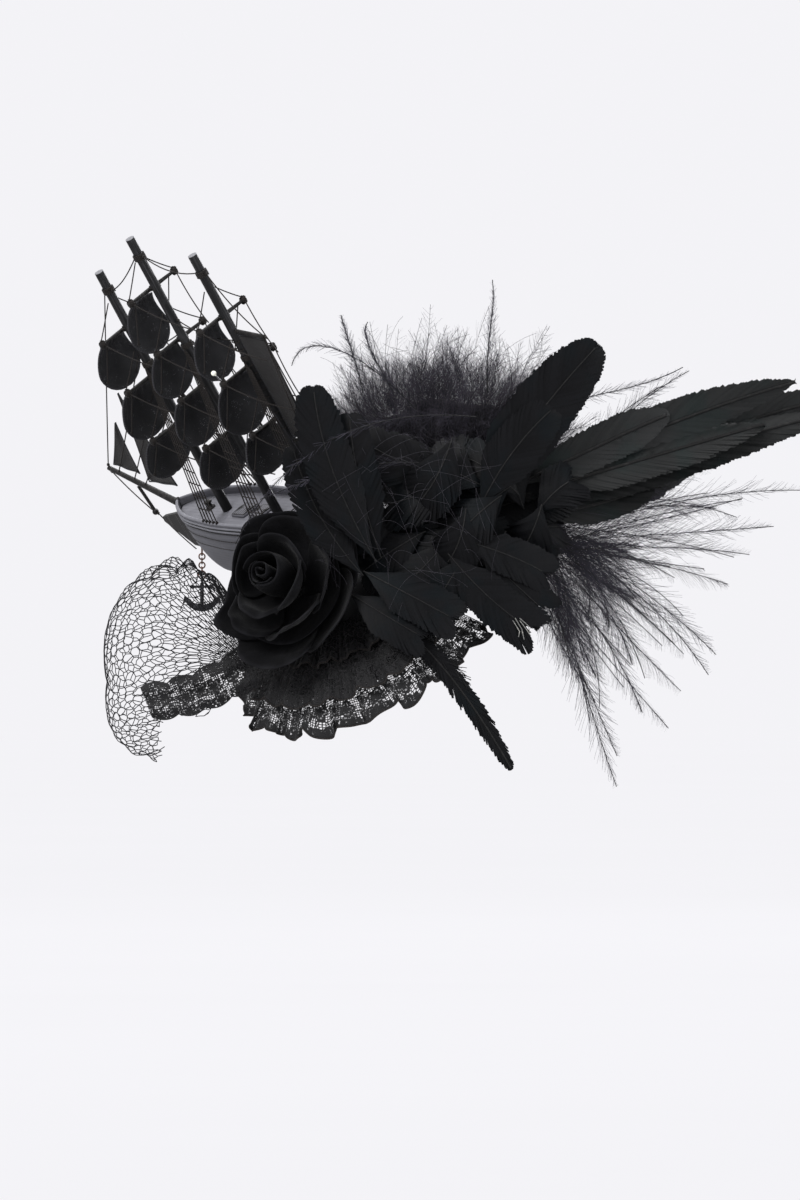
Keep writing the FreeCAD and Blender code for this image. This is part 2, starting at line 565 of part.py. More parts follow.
# ---- feathers -----------------------------------------------------------------------
def make_feathers():
    toward = V(0, -1, 0.25)
    ball = Part.Ellipse(V(46, 0, 0), V(0, 30, 0), V(0, 0, 0))
    half = Part.Wire([Part.ArcOfEllipse(ball, 0, math.pi).toShape(),
                      Part.LineSegment(V(-46, 0, 0), V(46, 0, 0)).toShape()])
    fluff = Part.Face(half).revolve(V(0, 0, 0), V(1, 0, 0), 360)
    fluff.translate(V(45, 22, 62))
    nodes["marabou_fluff"] = fluff
    pad_seat = V(50, 3, 28)
    outward = pad_seat - HEAD_CENTRE
    outward.normalize()
    pad = rod(HEAD_CENTRE + outward * HEAD_R, HEAD_CENTRE + outward * (BASE_TOP_R + 7), 14.0)
    nodes["feather_pad"] = pad.cut(Part.makeSphere(BASE_TOP_R + BINDING_STEP + 0.05, HEAD_CENTRE))
    nodes["quill_bundle"] = rod(V(32, 7, 30), V(72, -1, 30), 2.9)
    mound = []
    for layer, (base_x, base_z, tip_x, tip_z, width) in enumerate(MOUND):
        depth = MOUND_DEPTH + layer * MOUND_STEP
        base = V(base_x, toward.z * base_z - depth, base_z)
        tip = V(tip_x, toward.z * tip_z - depth, tip_z)
        mound.append(leaf(base, tip, width, toward, 1.0))
    nodes["mound_feathers"] = mound
    nodes["blade_feathers"] = [leaf(V(9, -54, 24), V(-18, -68, 98), 25, V(0, -1, 0.1), 2.0),
                               leaf(V(60, -38, 47), V(112.5, -36, 115), 25, V(0, -1, 0), 3.0)]
    tail = [(V(78, -14, 46), V(235, 2, 90), 19), (V(80, -18, 42), V(222, -2, 96), 17),
            (V(78, -22, 50), V(190, -12, 74), 17), (V(82, -10, 38), V(158, 0, 52), 16)]
    nodes["tail_feathers"] = [leaf(base, tip, width, V(0, -1, 0), 3.0) for base, tip, width in tail]
    nodes["coque_feathers"] = [leaf(V(46, -46, 16), V(88, -46, -18), 25, V(0, -1, 0), 2.0),
                               leaf(V(28.7, -46, -20), V(73.8, -56, -80), 10, V(0, -1, 0.1), 2.0)]
    spray_ends = [V(111, -26, -45), V(122, -16, -84), V(145, -8, -59), V(164, 2, -27),
                  V(193, 8, 32), V(154, 22, 103)]
    spray = []
    for number, end in enumerate(spray_ends):
        root = V(92, -14 + 5 * number, 24) + (end - V(92, 0, 24)) * 0.18
        spray.append(rod(root, end, 1.3, 0.4))
    nodes["ostrich_spray"] = spray


make_base()
make_clips()
make_ship()
make_anchor()
make_rose()
make_veil_and_lace()
make_feathers()
everything = []
for node_name in nodes:
    everything.append(save(node_name, nodes[node_name]))
box = Part.makeCompound(everything).BoundBox
print(len(nodes), "nodes, box", [round(side, 1) for side in (box.XMin, box.XMax, box.YMin, box.YMax, box.ZMin,
                                                             box.ZMax)])
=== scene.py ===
# %% [markdown]
# # A fascinator headpiece
# A fascinator is a small domed hat base that is sewn and glued full of trimmings. This one carries
# a black three-masted ship, a velvet rose, a net veil, lace, and a crest of feathers. The frame
# gives every place, so this lesson only makes the looks. Lengths are in metres.

# %% Load the frame
import json
import math
import bmesh
import bpy
import numpy as np
from mathutils import Matrix, Vector


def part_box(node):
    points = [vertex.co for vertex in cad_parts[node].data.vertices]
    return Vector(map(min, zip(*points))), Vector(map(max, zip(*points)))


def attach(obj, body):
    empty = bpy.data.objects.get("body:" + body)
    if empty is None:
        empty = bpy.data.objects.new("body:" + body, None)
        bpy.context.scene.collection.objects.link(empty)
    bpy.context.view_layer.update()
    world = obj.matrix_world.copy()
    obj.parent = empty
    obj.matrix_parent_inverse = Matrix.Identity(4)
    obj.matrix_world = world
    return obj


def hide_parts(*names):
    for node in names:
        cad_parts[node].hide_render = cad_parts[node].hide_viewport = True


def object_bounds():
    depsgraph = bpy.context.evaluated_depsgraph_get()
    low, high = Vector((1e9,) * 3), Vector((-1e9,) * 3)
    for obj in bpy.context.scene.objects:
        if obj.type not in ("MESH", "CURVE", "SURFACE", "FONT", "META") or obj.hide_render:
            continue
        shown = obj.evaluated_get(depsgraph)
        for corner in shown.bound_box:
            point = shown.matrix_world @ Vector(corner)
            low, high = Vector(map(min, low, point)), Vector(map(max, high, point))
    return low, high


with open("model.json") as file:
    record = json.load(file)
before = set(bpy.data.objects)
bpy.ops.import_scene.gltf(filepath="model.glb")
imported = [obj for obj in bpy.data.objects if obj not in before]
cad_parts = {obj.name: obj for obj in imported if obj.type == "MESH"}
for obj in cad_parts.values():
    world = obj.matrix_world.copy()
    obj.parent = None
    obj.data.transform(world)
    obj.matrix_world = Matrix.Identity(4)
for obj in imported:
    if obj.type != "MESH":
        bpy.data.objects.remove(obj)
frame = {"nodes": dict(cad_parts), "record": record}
cad_box = [list(corner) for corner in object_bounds()]
MM = 0.001
print(len(frame["nodes"]), "nodes, box in mm", [[round(v / MM) for v in corner] for corner in cad_box])

# %% [markdown]
# ## Camera and light
# The camera looks level along +Y, square to the wearer's left side, from eight metres away
# with a long lens. That keeps the ship's masts and the long tail feathers in true proportion.
# Black trimmings need big soft lamps from the sides and behind, because only their sheen shows
# their shape. The floor and the air round it have the same pale colour.

# %% Camera
CAMERA_BACK = 8.0
FRAME_HEIGHT = 0.540            # what the picture shows, top to bottom, at the headpiece
camera_data = bpy.data.cameras.new("camera")
camera_data.sensor_width = 36.0
camera_data.lens = camera_data.sensor_width * CAMERA_BACK / FRAME_HEIGHT
camera = bpy.data.objects.new("camera", camera_data)
camera.location = (0.0225, -CAMERA_BACK, -0.0009)
camera.rotation_euler = (math.pi / 2, 0, 0)
bpy.context.scene.collection.objects.link(camera)
bpy.context.scene.camera = camera
print("lens", round(camera_data.lens), "mm")


# %% Lamps, air and floor
def lamp(name, place, size, watts, tint=(1, 1, 1)):
    """A square soft lamp that faces the headpiece."""
    data = bpy.data.lights.new(name, "AREA")
    data.size = size
    data.energy = watts
    data.color = tint
    thing = bpy.data.objects.new(name, data)
    thing.location = place
    thing.rotation_euler = (Vector((0.04, 0, 0.03)) - Vector(place)).to_track_quat("-Z", "Y").to_euler()
    bpy.context.scene.collection.objects.link(thing)


lamp("key_lamp", (-1.3, -1.4, 1.3), 0.9, 48)
lamp("fill_lamp", (1.5, -1.2, 0.5), 1.0, 20, (0.95, 0.97, 1.0))
lamp("back_lamp", (0.7, 1.6, 1.0), 1.2, 42, (0.96, 0.96, 1.0))
lamp("top_lamp", (-0.2, 0.3, 1.9), 1.0, 28)

AIR = (0.90, 0.895, 0.925)
world = bpy.data.worlds.new("air")
world.use_nodes = True
world.node_tree.nodes["Background"].inputs["Color"].default_value = (*AIR, 1)
world.node_tree.nodes["Background"].inputs["Strength"].default_value = 1.0
bpy.context.scene.world = world
bpy.context.scene.view_settings.view_transform = "Standard"
print("4 lamps")

# %% [markdown]
# ## Writing node trees as expressions
# Both materials and Geometry Nodes are graphs. Wiring them node by node is long, so a `Wire` wraps
# one socket and knows arithmetic: `1 - mask` adds a Math node. A `Graph` adds any other node in one
# call, with its settings first and then its sockets.


# %% Wires and graphs
class Wire:
    """One output socket, so that maths on it reads as an expression."""

    def __init__(self, graph, socket):
        self.graph, self.socket = graph, socket

    def __add__(self, other):
        return self.graph.maths("ADD", self, other)

    def __sub__(self, other):
        return self.graph.maths("SUBTRACT", self, other)

    def __rsub__(self, other):
        return self.graph.maths("SUBTRACT", other, self)

    def __mul__(self, other):
        return self.graph.maths("MULTIPLY", self, other)

    def __truediv__(self, other):
        return self.graph.maths("DIVIDE", self, other)

    def __pow__(self, other):
        return self.graph.maths("POWER", self, other)

    __radd__ = __add__
    __rmul__ = __mul__


class Graph:
    """A node tree, and the calls that add nodes to it."""

    def __init__(self, tree):
        self.tree = tree

    def node(self, kind, settings=None, values=None, output=0):
        """Any node. Settings are its own properties; values are its sockets' numbers or wires."""
        new = self.tree.nodes.new(kind)
        for name, value in (settings or {}).items():
            setattr(new, name, value)
        for name, value in (values or {}).items():
            if isinstance(value, Wire):
                self.tree.links.new(value.socket, new.inputs[name])
            else:
                new.inputs[name].default_value = value
        return Wire(self, new.outputs[output])

    def maths(self, operation, *terms):
        return self.node("ShaderNodeMath", {"operation": operation}, dict(enumerate(terms)))

    def clamp(self, value):
        return self.node("ShaderNodeClamp", values={"Value": value})

    def step(self, value, low, high):
        """0 below low, 1 above high, and smooth between them."""
        ends = {"Value": value, "From Min": low, "From Max": high}
        return self.node("ShaderNodeMapRange", {"interpolation_type": "SMOOTHSTEP"}, ends)

    def colour(self, mask, first, second):
        """Two colours mixed by a mask."""
        ends = {0: mask}
        for index, end in ((6, first), (7, second)):
            ends[index] = end if isinstance(end, Wire) else (*end, 1)
        return self.node("ShaderNodeMix", {"data_type": "RGBA"}, ends, output=2)

    def vector(self, x=0.0, y=0.0, z=0.0):
        return self.node("ShaderNodeCombineXYZ", values={"X": x, "Y": y, "Z": z})

    def parts(self, vector):
        """A vector's three numbers."""
        split = self.node("ShaderNodeSeparateXYZ", values={"Vector": vector}).socket.node
        return [Wire(self, split.outputs[axis]) for axis in "XYZ"]


print("Wire and Graph ready")


# %% A material's graph
class Finish(Graph):
    """One material: patterns are made with its calls, and done() wires the surface."""

    def __init__(self, name):
        self.material = bpy.data.materials.new(name)
        self.material.use_nodes = True
        super().__init__(self.material.node_tree)
        self.tree.nodes.clear()
        self.place = self.node("ShaderNodeTexCoord", output="Object")

    def turned(self, matrix):
        """Object coordinates seen in another set of axes."""
        back = matrix.inverted()
        values = {"Vector": self.place, "Location": back.to_translation(), "Rotation": back.to_euler()}
        return self.node("ShaderNodeMapping", values=values)

    def noise(self, scale, place=None, stretch=(1, 1, 1), detail=3.0):
        """Soft random values about 0.5; stretch squeezes the pattern along each axis."""
        place = place or self.place
        if stretch != (1, 1, 1):
            place = self.node("ShaderNodeMapping", values={"Vector": place, "Scale": stretch})
        values = {"Vector": place, "Scale": scale, "Detail": detail}
        return self.node("ShaderNodeTexNoise", values=values)

    def cells(self, scale, place=None, feature="DISTANCE_TO_EDGE", randomness=1.0):
        values = {"Vector": place or self.place, "Scale": scale, "Randomness": randomness}
        return self.node("ShaderNodeTexVoronoi", {"feature": feature}, values, output="Distance")

    def own(self, attribute):
        """A number that the mesh carries, such as how far along a feather a point is."""
        return self.node("ShaderNodeAttribute", {"attribute_name": attribute}, output="Fac")

    def uv(self):
        return self.parts(self.node("ShaderNodeUVMap", {"uv_map": "UVMap"}))[:2]

    def done(self, colour, roughness, height=None, depth=0.0002, strength=0.6, alpha=None, **uniform):
        """The Principled surface. Uniform numbers go on its own sockets."""
        values = {"Base Color": colour if isinstance(colour, Wire) else (*colour, 1), "Roughness": roughness}
        if height is not None:
            bump = {"Height": height, "Strength": strength, "Distance": depth}
            values["Normal"] = self.node("ShaderNodeBump", values=bump)
        if alpha is not None:
            values["Alpha"] = alpha
        uniform.setdefault("Specular_IOR_Level", 0.25)
        for name, value in uniform.items():
            values[name.replace("_", " ")] = value
        surface = self.node("ShaderNodeBsdfPrincipled", values=values)
        output = self.tree.nodes.new("ShaderNodeOutputMaterial")
        self.tree.links.new(surface.socket, output.inputs["Surface"])
        return self.material


print("Finish ready")


# %% Floor
FLOOR_DROP = 0.09               # floor below the lowest feather, as the headpiece is worn
floor_mesh = bpy.data.meshes.new("floor")
reach = 14.0
floor_z = cad_box[0][2] - FLOOR_DROP
ring = [(reach * math.cos(a), reach * math.sin(a), floor_z) for a in np.linspace(0, 2 * math.pi, 64, False)]
floor_mesh.from_pydata(ring, [], [list(range(64))])
floor = bpy.data.objects.new("floor", floor_mesh)
bpy.context.scene.collection.objects.link(floor)
paint = Finish("floor_paint")
speckle = paint.noise(3.0)
pale = paint.colour(speckle, (0.885, 0.88, 0.91), (0.895, 0.89, 0.92))
dim = paint.colour(speckle, (0.010, 0.010, 0.0105), (0.012, 0.012, 0.0125))
floor_mesh.materials.append(paint.done(dim, 0.95, Emission_Color=pale, Emission_Strength=1.0,
                                       Specular_IOR_Level=0.0))
print("floor at", round(floor_z, 3))

# %% [markdown]
# ## Growing things with Geometry Nodes
# Threads, stitches, barbs and down repeat hundreds of times along a path or over a surface. Each
# gets one tree with named inputs. `grow` runs a tree once, keeps the plain mesh that comes out, and
# drops the modifier, so the piece is ordinary triangles.


# %% Growing helpers
def show(name, mesh):
    thing = bpy.data.objects.new(name, mesh)
    bpy.context.scene.collection.objects.link(thing)
    return thing


def geometry_graph(name, inputs):
    """A Geometry Nodes tree. Inputs are its named sizes: a label with a socket kind and a value."""
    tree = bpy.data.node_groups.new(name, "GeometryNodeTree")
    tree.interface.new_socket("Geometry", in_out="INPUT", socket_type="NodeSocketGeometry")
    tree.interface.new_socket("Geometry", in_out="OUTPUT", socket_type="NodeSocketGeometry")
    for label, (kind, value) in inputs.items():
        socket = tree.interface.new_socket(label, in_out="INPUT", socket_type="NodeSocket" + kind)
        if value is not None:
            socket.default_value = value
    graph = Graph(tree)
    source = tree.nodes.new("NodeGroupInput")
    graph.given = {socket.name: Wire(graph, socket) for socket in source.outputs if socket.name}
    return graph


def close_graph(graph, geometry):
    """End a tree with real geometry, which the export needs."""
    real = graph.node("GeometryNodeRealizeInstances", values={"Geometry": geometry})
    last = graph.tree.nodes.new("NodeGroupOutput")
    graph.tree.links.new(real.socket, last.inputs["Geometry"])
    return graph.tree


def grow(name, tree, values, start=None):
    """Run a tree on a start mesh and return an object that holds the plain result."""
    thing = show(name, start or bpy.data.meshes.new(name))
    modifier = thing.modifiers.new("grow", "NODES")
    modifier.node_group = tree
    for item in tree.interface.items_tree:
        if item.in_out == "INPUT" and item.name in values:
            modifier[item.identifier] = values[item.name]
    depsgraph = bpy.context.evaluated_depsgraph_get()
    plain = bpy.data.meshes.new_from_object(thing.evaluated_get(depsgraph),
                                            preserve_all_data_layers=True, depsgraph=depsgraph)
    thing.modifiers.remove(modifier)
    thing.data = plain
    for slot in range(len(plain.materials)):
        if plain.materials[slot] is None:
            plain.materials[slot] = plain.materials[0]
    return thing


def join(name, things):
    """One object out of many, with their attributes."""
    with bpy.context.temp_override(active_object=things[0], selected_editable_objects=things):
        bpy.ops.object.join()
    things[0].name = name
    return things[0]


def triangles(thing):
    return sum(len(face.vertices) - 2 for face in thing.data.polygons)


def give(thing, replaced=(), body="headpiece"):
    """Ride a piece on a body, and hide the nodes that it stands for."""
    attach(thing, body)
    if replaced:
        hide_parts(*replaced)
    print(thing.name, triangles(thing), "triangles")
    return thing


def surface(name, rows, material, closed=False, uv_size=(1.0, 1.0)):
    """A smooth sheet from a grid of points; closed joins the last column to the first."""
    grid = np.array(rows, dtype=float)
    tall, wide = grid.shape[:2]
    mesh = bpy.data.meshes.new(name)
    faces, corners = [], []
    last = wide if closed else wide - 1
    for row in range(tall - 1):
        for column in range(last):
            right = (column + 1) % wide
            faces.append((row * wide + column, row * wide + right,
                          (row + 1) * wide + right, (row + 1) * wide + column))
            across = (column / last, (column + 1) / last)
            up = (row / (tall - 1), (row + 1) / (tall - 1))
            corners += [(across[0], up[0]), (across[1], up[0]), (across[1], up[1]), (across[0], up[1])]
    mesh.from_pydata([tuple(point) for point in grid.reshape(-1, 3)], [], faces)
    layer = mesh.uv_layers.new(name="UVMap")
    flat = (np.array(corners) * np.array(uv_size)).astype(np.float32).ravel()
    layer.data.foreach_set("uv", flat)
    mesh.polygons.foreach_set("use_smooth", [True] * len(faces))
    mesh.materials.append(material)
    return show(name, mesh)


def seal(thing, caps=True):
    """Merge doubled corners at poles and seams, close what is still open, and turn faces outward."""
    solid = bmesh.new()
    solid.from_mesh(thing.data)
    bmesh.ops.remove_doubles(solid, verts=solid.verts, dist=1e-6)
    bmesh.ops.dissolve_degenerate(solid, dist=1e-7, edges=solid.edges)
    if caps:
        bmesh.ops.holes_fill(solid, edges=solid.edges, sides=0)
    bmesh.ops.recalc_face_normals(solid, faces=solid.faces)
    solid.to_mesh(thing.data)
    solid.free()
    return thing


def thicken(thing, thickness, levels=1, offset=0.0):
    """Give a sheet its thickness, then smooth it."""
    wall = thing.modifiers.new("wall", "SOLIDIFY")
    wall.thickness = thickness
    wall.offset = offset
    if levels:
        smooth = thing.modifiers.new("smooth", "SUBSURF")
        smooth.levels = levels
        smooth.render_levels = levels
    return thing


print("growing helpers ready")


# %% Thread tree
def thread_tree():
    """Turns every polyline of a mesh into round thread."""
    graph = geometry_graph("thread", {"Radius": ("Float", 0.0003), "Sides": ("Int", 6),
                                      "Material": ("Material", None)})
    line = graph.node("GeometryNodeMeshToCurve", values={"Mesh": graph.given["Geometry"]})
    length = graph.node("GeometryNodeSplineParameter", output="Length")
    stored = graph.node("GeometryNodeStoreNamedAttribute", {"data_type": "FLOAT", "domain": "POINT"},
                        {"Geometry": line, "Name": "run", "Value": length})
    section = graph.node("GeometryNodeCurvePrimitiveCircle",
                         values={"Resolution": graph.given["Sides"], "Radius": graph.given["Radius"]})
    tube = graph.node("GeometryNodeCurveToMesh",
                      values={"Curve": stored, "Profile Curve": section, "Fill Caps": True})
    tube = graph.node("GeometryNodeSetShadeSmooth", values={"Geometry": tube})
    tube = graph.node("GeometryNodeSetMaterial",
                      values={"Geometry": tube, "Material": graph.given["Material"]})
    return close_graph(graph, tube)


def polylines(name, lines):
    """A mesh of loose edges, one chain for each list of points."""
    points, edges = [], []
    for line in lines:
        first = len(points)
        points += [tuple(point) for point in line]
        edges += [(first + i, first + i + 1) for i in range(len(line) - 1)]
    mesh = bpy.data.meshes.new(name)
    mesh.from_pydata(points, edges, [])
    return mesh


THREAD = thread_tree()


def threads(name, lines, radius, material, sides=6):
    values = {"Radius": radius, "Sides": sides, "Material": material}
    return grow(name, THREAD, values, polylines(name, lines))


def sagging(start, end, sag, steps=10):
    """A thread between two points that hangs by a share of its span."""
    start, end = Vector(start), Vector(end)
    drop = (end - start).length * sag
    line = []
    for step in range(steps + 1):
        t = step / steps
        line.append(start.lerp(end, t) - Vector((0, 0, 4 * drop * t * (1 - t))))
    return line


print("thread tree ready")


# %% Feather tree
def feather_tree():
    """A straight feather along +X: a tapered shaft, and barbs on both sides of it."""
    numbers = {"Length": ("Float", 0.1), "Half Width": ("Float", 0.01), "Shaft": ("Float", 0.0006),
               "Barbs": ("Int", 80), "Barb Width": ("Float", 0.001), "Sweep": ("Float", 0.6),
               "Curl": ("Float", 0.3), "Droop": ("Float", 0.1), "Splay": ("Float", 0.1),
               "Tip Power": ("Float", 4.0), "Bare": ("Float", 0.03), "Segments": ("Int", 5),
               "Sides": ("Int", 5),
               "Seed": ("Int", 1), "Vane": ("Material", None), "Quill": ("Material", None)}
    graph = geometry_graph("feather", numbers)
    given = graph.given
    tip = graph.vector(given["Length"])
    line = graph.node("GeometryNodeCurvePrimitiveLine", values={"Start": (0, 0, 0), "End": tip})
    spots = graph.node("GeometryNodeResampleCurve", values={"Curve": line, "Count": given["Barbs"]})
    along = graph.node("GeometryNodeSplineParameter", output="Factor")
    section = graph.node("GeometryNodeCurvePrimitiveCircle",
                         values={"Resolution": given["Sides"], "Radius": given["Shaft"]})
    thin = graph.node("GeometryNodeSetCurveRadius", values={"Curve": spots, "Radius": 1 - along * 0.85})
    shaft = graph.node("GeometryNodeCurveToMesh",
                       values={"Curve": thin, "Profile Curve": section, "Fill Caps": True})
    shaft = graph.node("GeometryNodeSetMaterial", values={"Geometry": shaft, "Material": given["Quill"]})

    rise = graph.clamp((along - given["Bare"]) / 0.18)
    fall = graph.clamp(1 - along ** given["Tip Power"])
    wide = given["Half Width"] * rise ** 0.7 * fall ** 0.8
    geometry = [shaft]
    for side in (1, -1):
        grid = graph.node("GeometryNodeMeshGrid", values={"Size X": 1.0, "Size Y": 1.0,
                                                          "Vertices X": given["Segments"], "Vertices Y": 2})
        x, y, _ = graph.parts(graph.node("GeometryNodeInputPosition"))
        out = x + 0.5
        narrow = y * (given["Barb Width"] / given["Half Width"]) * (1 - out * 0.35)
        bent = graph.vector(out, narrow + out * out * given["Curl"] * (-side),
                            out * out * given["Droop"] * -1)
        barb = graph.node("GeometryNodeSetPosition", values={"Geometry": grid, "Position": bent})
        barb = graph.node("GeometryNodeStoreNamedAttribute", {"data_type": "FLOAT", "domain": "POINT"},
                          {"Geometry": barb, "Name": "outward", "Value": out})

        def chance(low, high, salt):
            values = {"Min": low, "Max": high, "Seed": given["Seed"] + salt + side}
            picked = graph.node("FunctionNodeRandomValue", {"data_type": "FLOAT"}, output=1)
            for index, value in ((2, low), (3, high), (8, values["Seed"])):
                if isinstance(value, Wire):
                    graph.tree.links.new(value.socket, picked.socket.node.inputs[index])
                else:
                    picked.socket.node.inputs[index].default_value = value
            return picked

        lean = given["Sweep"] + along * 0.35
        sideways = graph.maths("COSINE", lean) - given["Curl"] * graph.maths("SINE", lean)
        spread = given["Splay"] * chance(-1.0, 1.0, 11)
        lift = given["Splay"] * chance(-0.8, 0.8, 23)
        angle = (math.pi / 2 - lean + spread) * side
        turn = graph.node("FunctionNodeEulerToRotation", values={"Euler": graph.vector(0.0, lift, angle)})
        size = wide * chance(0.93, 1.0, 37) / graph.maths("MAXIMUM", sideways, 0.35)
        scale = graph.vector(size, given["Half Width"], given["Half Width"])
        marked = graph.node("GeometryNodeStoreNamedAttribute", {"data_type": "FLOAT", "domain": "POINT"},
                            {"Geometry": spots, "Name": "along", "Value": along})
        marked = graph.node("GeometryNodeStoreNamedAttribute", {"data_type": "FLOAT", "domain": "POINT"},
                            {"Geometry": marked, "Name": "tone", "Value": chance(0.0, 1.0, 51)})
        shown = graph.maths("GREATER_THAN", wide, 0.0002)
        barbs = graph.node("GeometryNodeInstanceOnPoints",
                           values={"Points": marked, "Instance": barb, "Rotation": turn, "Scale": scale,
                                   "Selection": shown})
        barbs = graph.node("GeometryNodeRealizeInstances", values={"Geometry": barbs})
        geometry.append(graph.node("GeometryNodeSetMaterial",
                                   values={"Geometry": barbs, "Material": given["Vane"]}))
    both = graph.tree.nodes.new("GeometryNodeJoinGeometry")
    for part in reversed(geometry):
        graph.tree.links.new(part.socket, both.inputs["Geometry"])
    smooth = graph.node("GeometryNodeSetShadeSmooth", values={"Geometry": Wire(graph, both.outputs[0])})
    return close_graph(graph, smooth)


FEATHER = feather_tree()
print("feather tree ready")

# %% [markdown]
# ## Finishes
# Everything is black or nearly so, and the blacks differ by how they take light: velvet drinks it,
# satin and coque feathers shine in streaks, the ship is matt paint over wood, and the down lets
# light through until it looks purple-grey. Each finish is a small function of noise, streaks or
# the mesh's own numbers.


# %% The ship's axes
def axes(origin, x_axis, z_axis):
    """Axes at a point: Z runs along z_axis, and X is as near x_axis as it can be."""
    z = Vector(z_axis).normalized()
    x = (Vector(x_axis) - z * z.dot(Vector(x_axis))).normalized()
    y = z.cross(x)
    turn = Matrix((x, y, z)).transposed().to_4x4()
    return Matrix.Translation(Vector(origin)) @ turn


SHIP_STEM = Vector((-76.9, 103.0, 41.5)) * MM
SHIP_BOW = Vector((-0.538, 0.841, 0.054))
SHIP_UP = Vector((-0.447, -0.340, 0.828))
SHIP = axes(SHIP_STEM, -SHIP_BOW, SHIP_UP)          # X aft, Y to starboard, Z up the masts
HEAD_CENTRE = Vector((40.5, 42.2, -68.4)) * MM
HEAD_R = 90.0
OUT = -HEAD_CENTRE.normalized()
DOME = axes(HEAD_CENTRE, Vector((0, 0, 1)).cross(OUT), OUT)


def aboard(points, matrix=SHIP):
    """Points given in millimetres in a piece's own axes, as places in the scene."""
    return [matrix @ (Vector(point) * MM) for point in points]


print("ship leans", round(math.degrees(SHIP_UP.angle(Vector((0, 0, 1))))), "degrees")


# %% Wood, paint and metal
def wood(name, dark, pale, top=None):
    """Stained dowel: streaks up the mast, and bare grey end grain above top."""
    paint = Finish(name)
    ship = paint.turned(SHIP)
    streaks = paint.step(paint.noise(1100, ship, (1, 1, 0.03)), 0.45, 0.8)
    wear = paint.step(paint.noise(260, ship), 0.55, 0.75)
    colour = paint.colour(streaks * 0.7 + wear * 0.25, dark, pale)
    if top is not None:
        height = paint.parts(ship)[2]
        cut = paint.step(height, (top - 0.25) * MM, (top - 0.05) * MM)
        colour = paint.colour(cut, colour, (0.15, 0.15, 0.16))
    return paint.done(colour, 0.55 - streaks * 0.15, streaks, 0.00025, Specular_IOR_Level=0.2)


def ship_paint(name, base, shade, planks):
    """Matt paint over planking: fine seams along the ship, brush marks and rubbed patches."""
    paint = Finish(name)
    ship = paint.turned(SHIP)
    aft, side, up = paint.parts(ship)
    seam = paint.maths("ABSOLUTE", paint.maths("SINE", (side if planks == "deck" else up) * 1500.0))
    line = 1 - paint.step(seam, 0.0, 0.16)
    brush = paint.noise(420, ship, (0.15, 1, 1))
    rubbed = paint.step(paint.noise(130, ship), 0.5, 0.72)
    colour = paint.colour(brush * 0.5 + rubbed * 0.3, base, shade)
    colour = paint.colour(line * 0.55, colour, tuple(0.3 * v for v in base))
    return paint.done(colour, 0.62 + brush * 0.2, brush * 0.4 - line, 0.00015)


def metal(name, colour, worn, roughness, metallic=1.0):
    """Small hardware: dark, and rubbed bright in random patches of its surface."""
    paint = Finish(name)
    wear = paint.step(paint.noise(480), 0.48, 0.75)
    fine = paint.noise(3000)
    return paint.done(paint.colour(wear, colour, worn), roughness - wear * 0.12 + fine * 0.1, fine,
                      0.00004, Metallic=metallic)


mast_finish = {}
MASTS = {"foremast": (40.3, 130.4), "mainmast": (84.1, 150.5), "mizzenmast": (131.3, 143.7)}
for mast, (aft, length) in MASTS.items():
    mast_finish[mast] = wood(mast + "_wood", (0.004, 0.004, 0.0045), (0.034, 0.033, 0.036), length)
black_wood = wood("black_wood", (0.004, 0.0035, 0.0035), (0.022, 0.019, 0.018))
deck_paint = ship_paint("deck_paint", (0.105, 0.105, 0.12), (0.155, 0.155, 0.17), "deck")
hull_paint = ship_paint("hull_paint", (0.07, 0.07, 0.08), (0.12, 0.12, 0.135), "side")
rail_paint = ship_paint("rail_paint", (0.11, 0.11, 0.125), (0.165, 0.165, 0.18), "side")
steel = metal("clip_steel", (0.42, 0.42, 0.44), (0.62, 0.62, 0.64), 0.35)
post_metal = metal("post_wire", (0.18, 0.18, 0.19), (0.35, 0.35, 0.36), 0.45)
copper = metal("copper_wire", (0.075, 0.042, 0.032), (0.26, 0.13, 0.09), 0.42)
anchor_enamel = metal("anchor_enamel", (0.010, 0.010, 0.012), (0.06, 0.06, 0.066), 0.38, 0.35)
print("wood, paint and metal made")


# %% Cloth and thread
def thread_finish(name, colour, light, twist=5200.0):
    """Thread: its twist shows as fine dark and light turns along its run."""
    paint = Finish(name)
    turns = paint.maths("SINE", paint.own("run") * twist) * 0.5 + 0.5
    fuzz = paint.noise(2600)
    mixed = paint.colour(turns * 0.5 + fuzz * 0.3, colour, light)
    return paint.done(mixed, 0.75, turns + fuzz, 0.00008, Sheen_Weight=0.02, Specular_IOR_Level=0.15)


def woven(name, dark, light, count, roughness, sheen=0.2, gloss=0.3, glint_amount=0.0):
    """Cloth on its own UV map: crossing threads, slubs, soft creases with painted shade in their hollows, and
    a few painted glints as bright specks.
    """
    paint = Finish(name)
    across, up = paint.uv()
    warp = paint.maths("SINE", across * count) * 0.5 + 0.5
    weft = paint.maths("SINE", up * count) * 0.5 + 0.5
    weave = paint.maths("MAXIMUM", warp * (1 - weft), weft * (1 - warp))
    slub = paint.noise(700, detail=5.0)
    crease = paint.noise(90)
    # Painted shade: the crease noise also darkens the colour in the creases' hollows, beside its real bump
    # and roughness.
    colour = paint.colour(weave * 0.45 + slub * 0.35 + crease * 0.2, dark, light)
    rough = roughness - crease * 0.12
    if glint_amount:
        # Painted glints: bright grey specks mixed into the cloth's colour.
        painted_glint = 1 - paint.step(paint.cells(1500, feature="F1"), 0.10, 0.2)
        chance = paint.step(paint.noise(240), 0.52, 0.62)
        colour = paint.colour(painted_glint * chance * glint_amount, colour, (0.55, 0.55, 0.6))
    return paint.done(colour, rough, weave * 0.5 + slub * 0.6 + crease, 0.0004,
                      Sheen_Weight=sheen, Specular_IOR_Level=gloss)


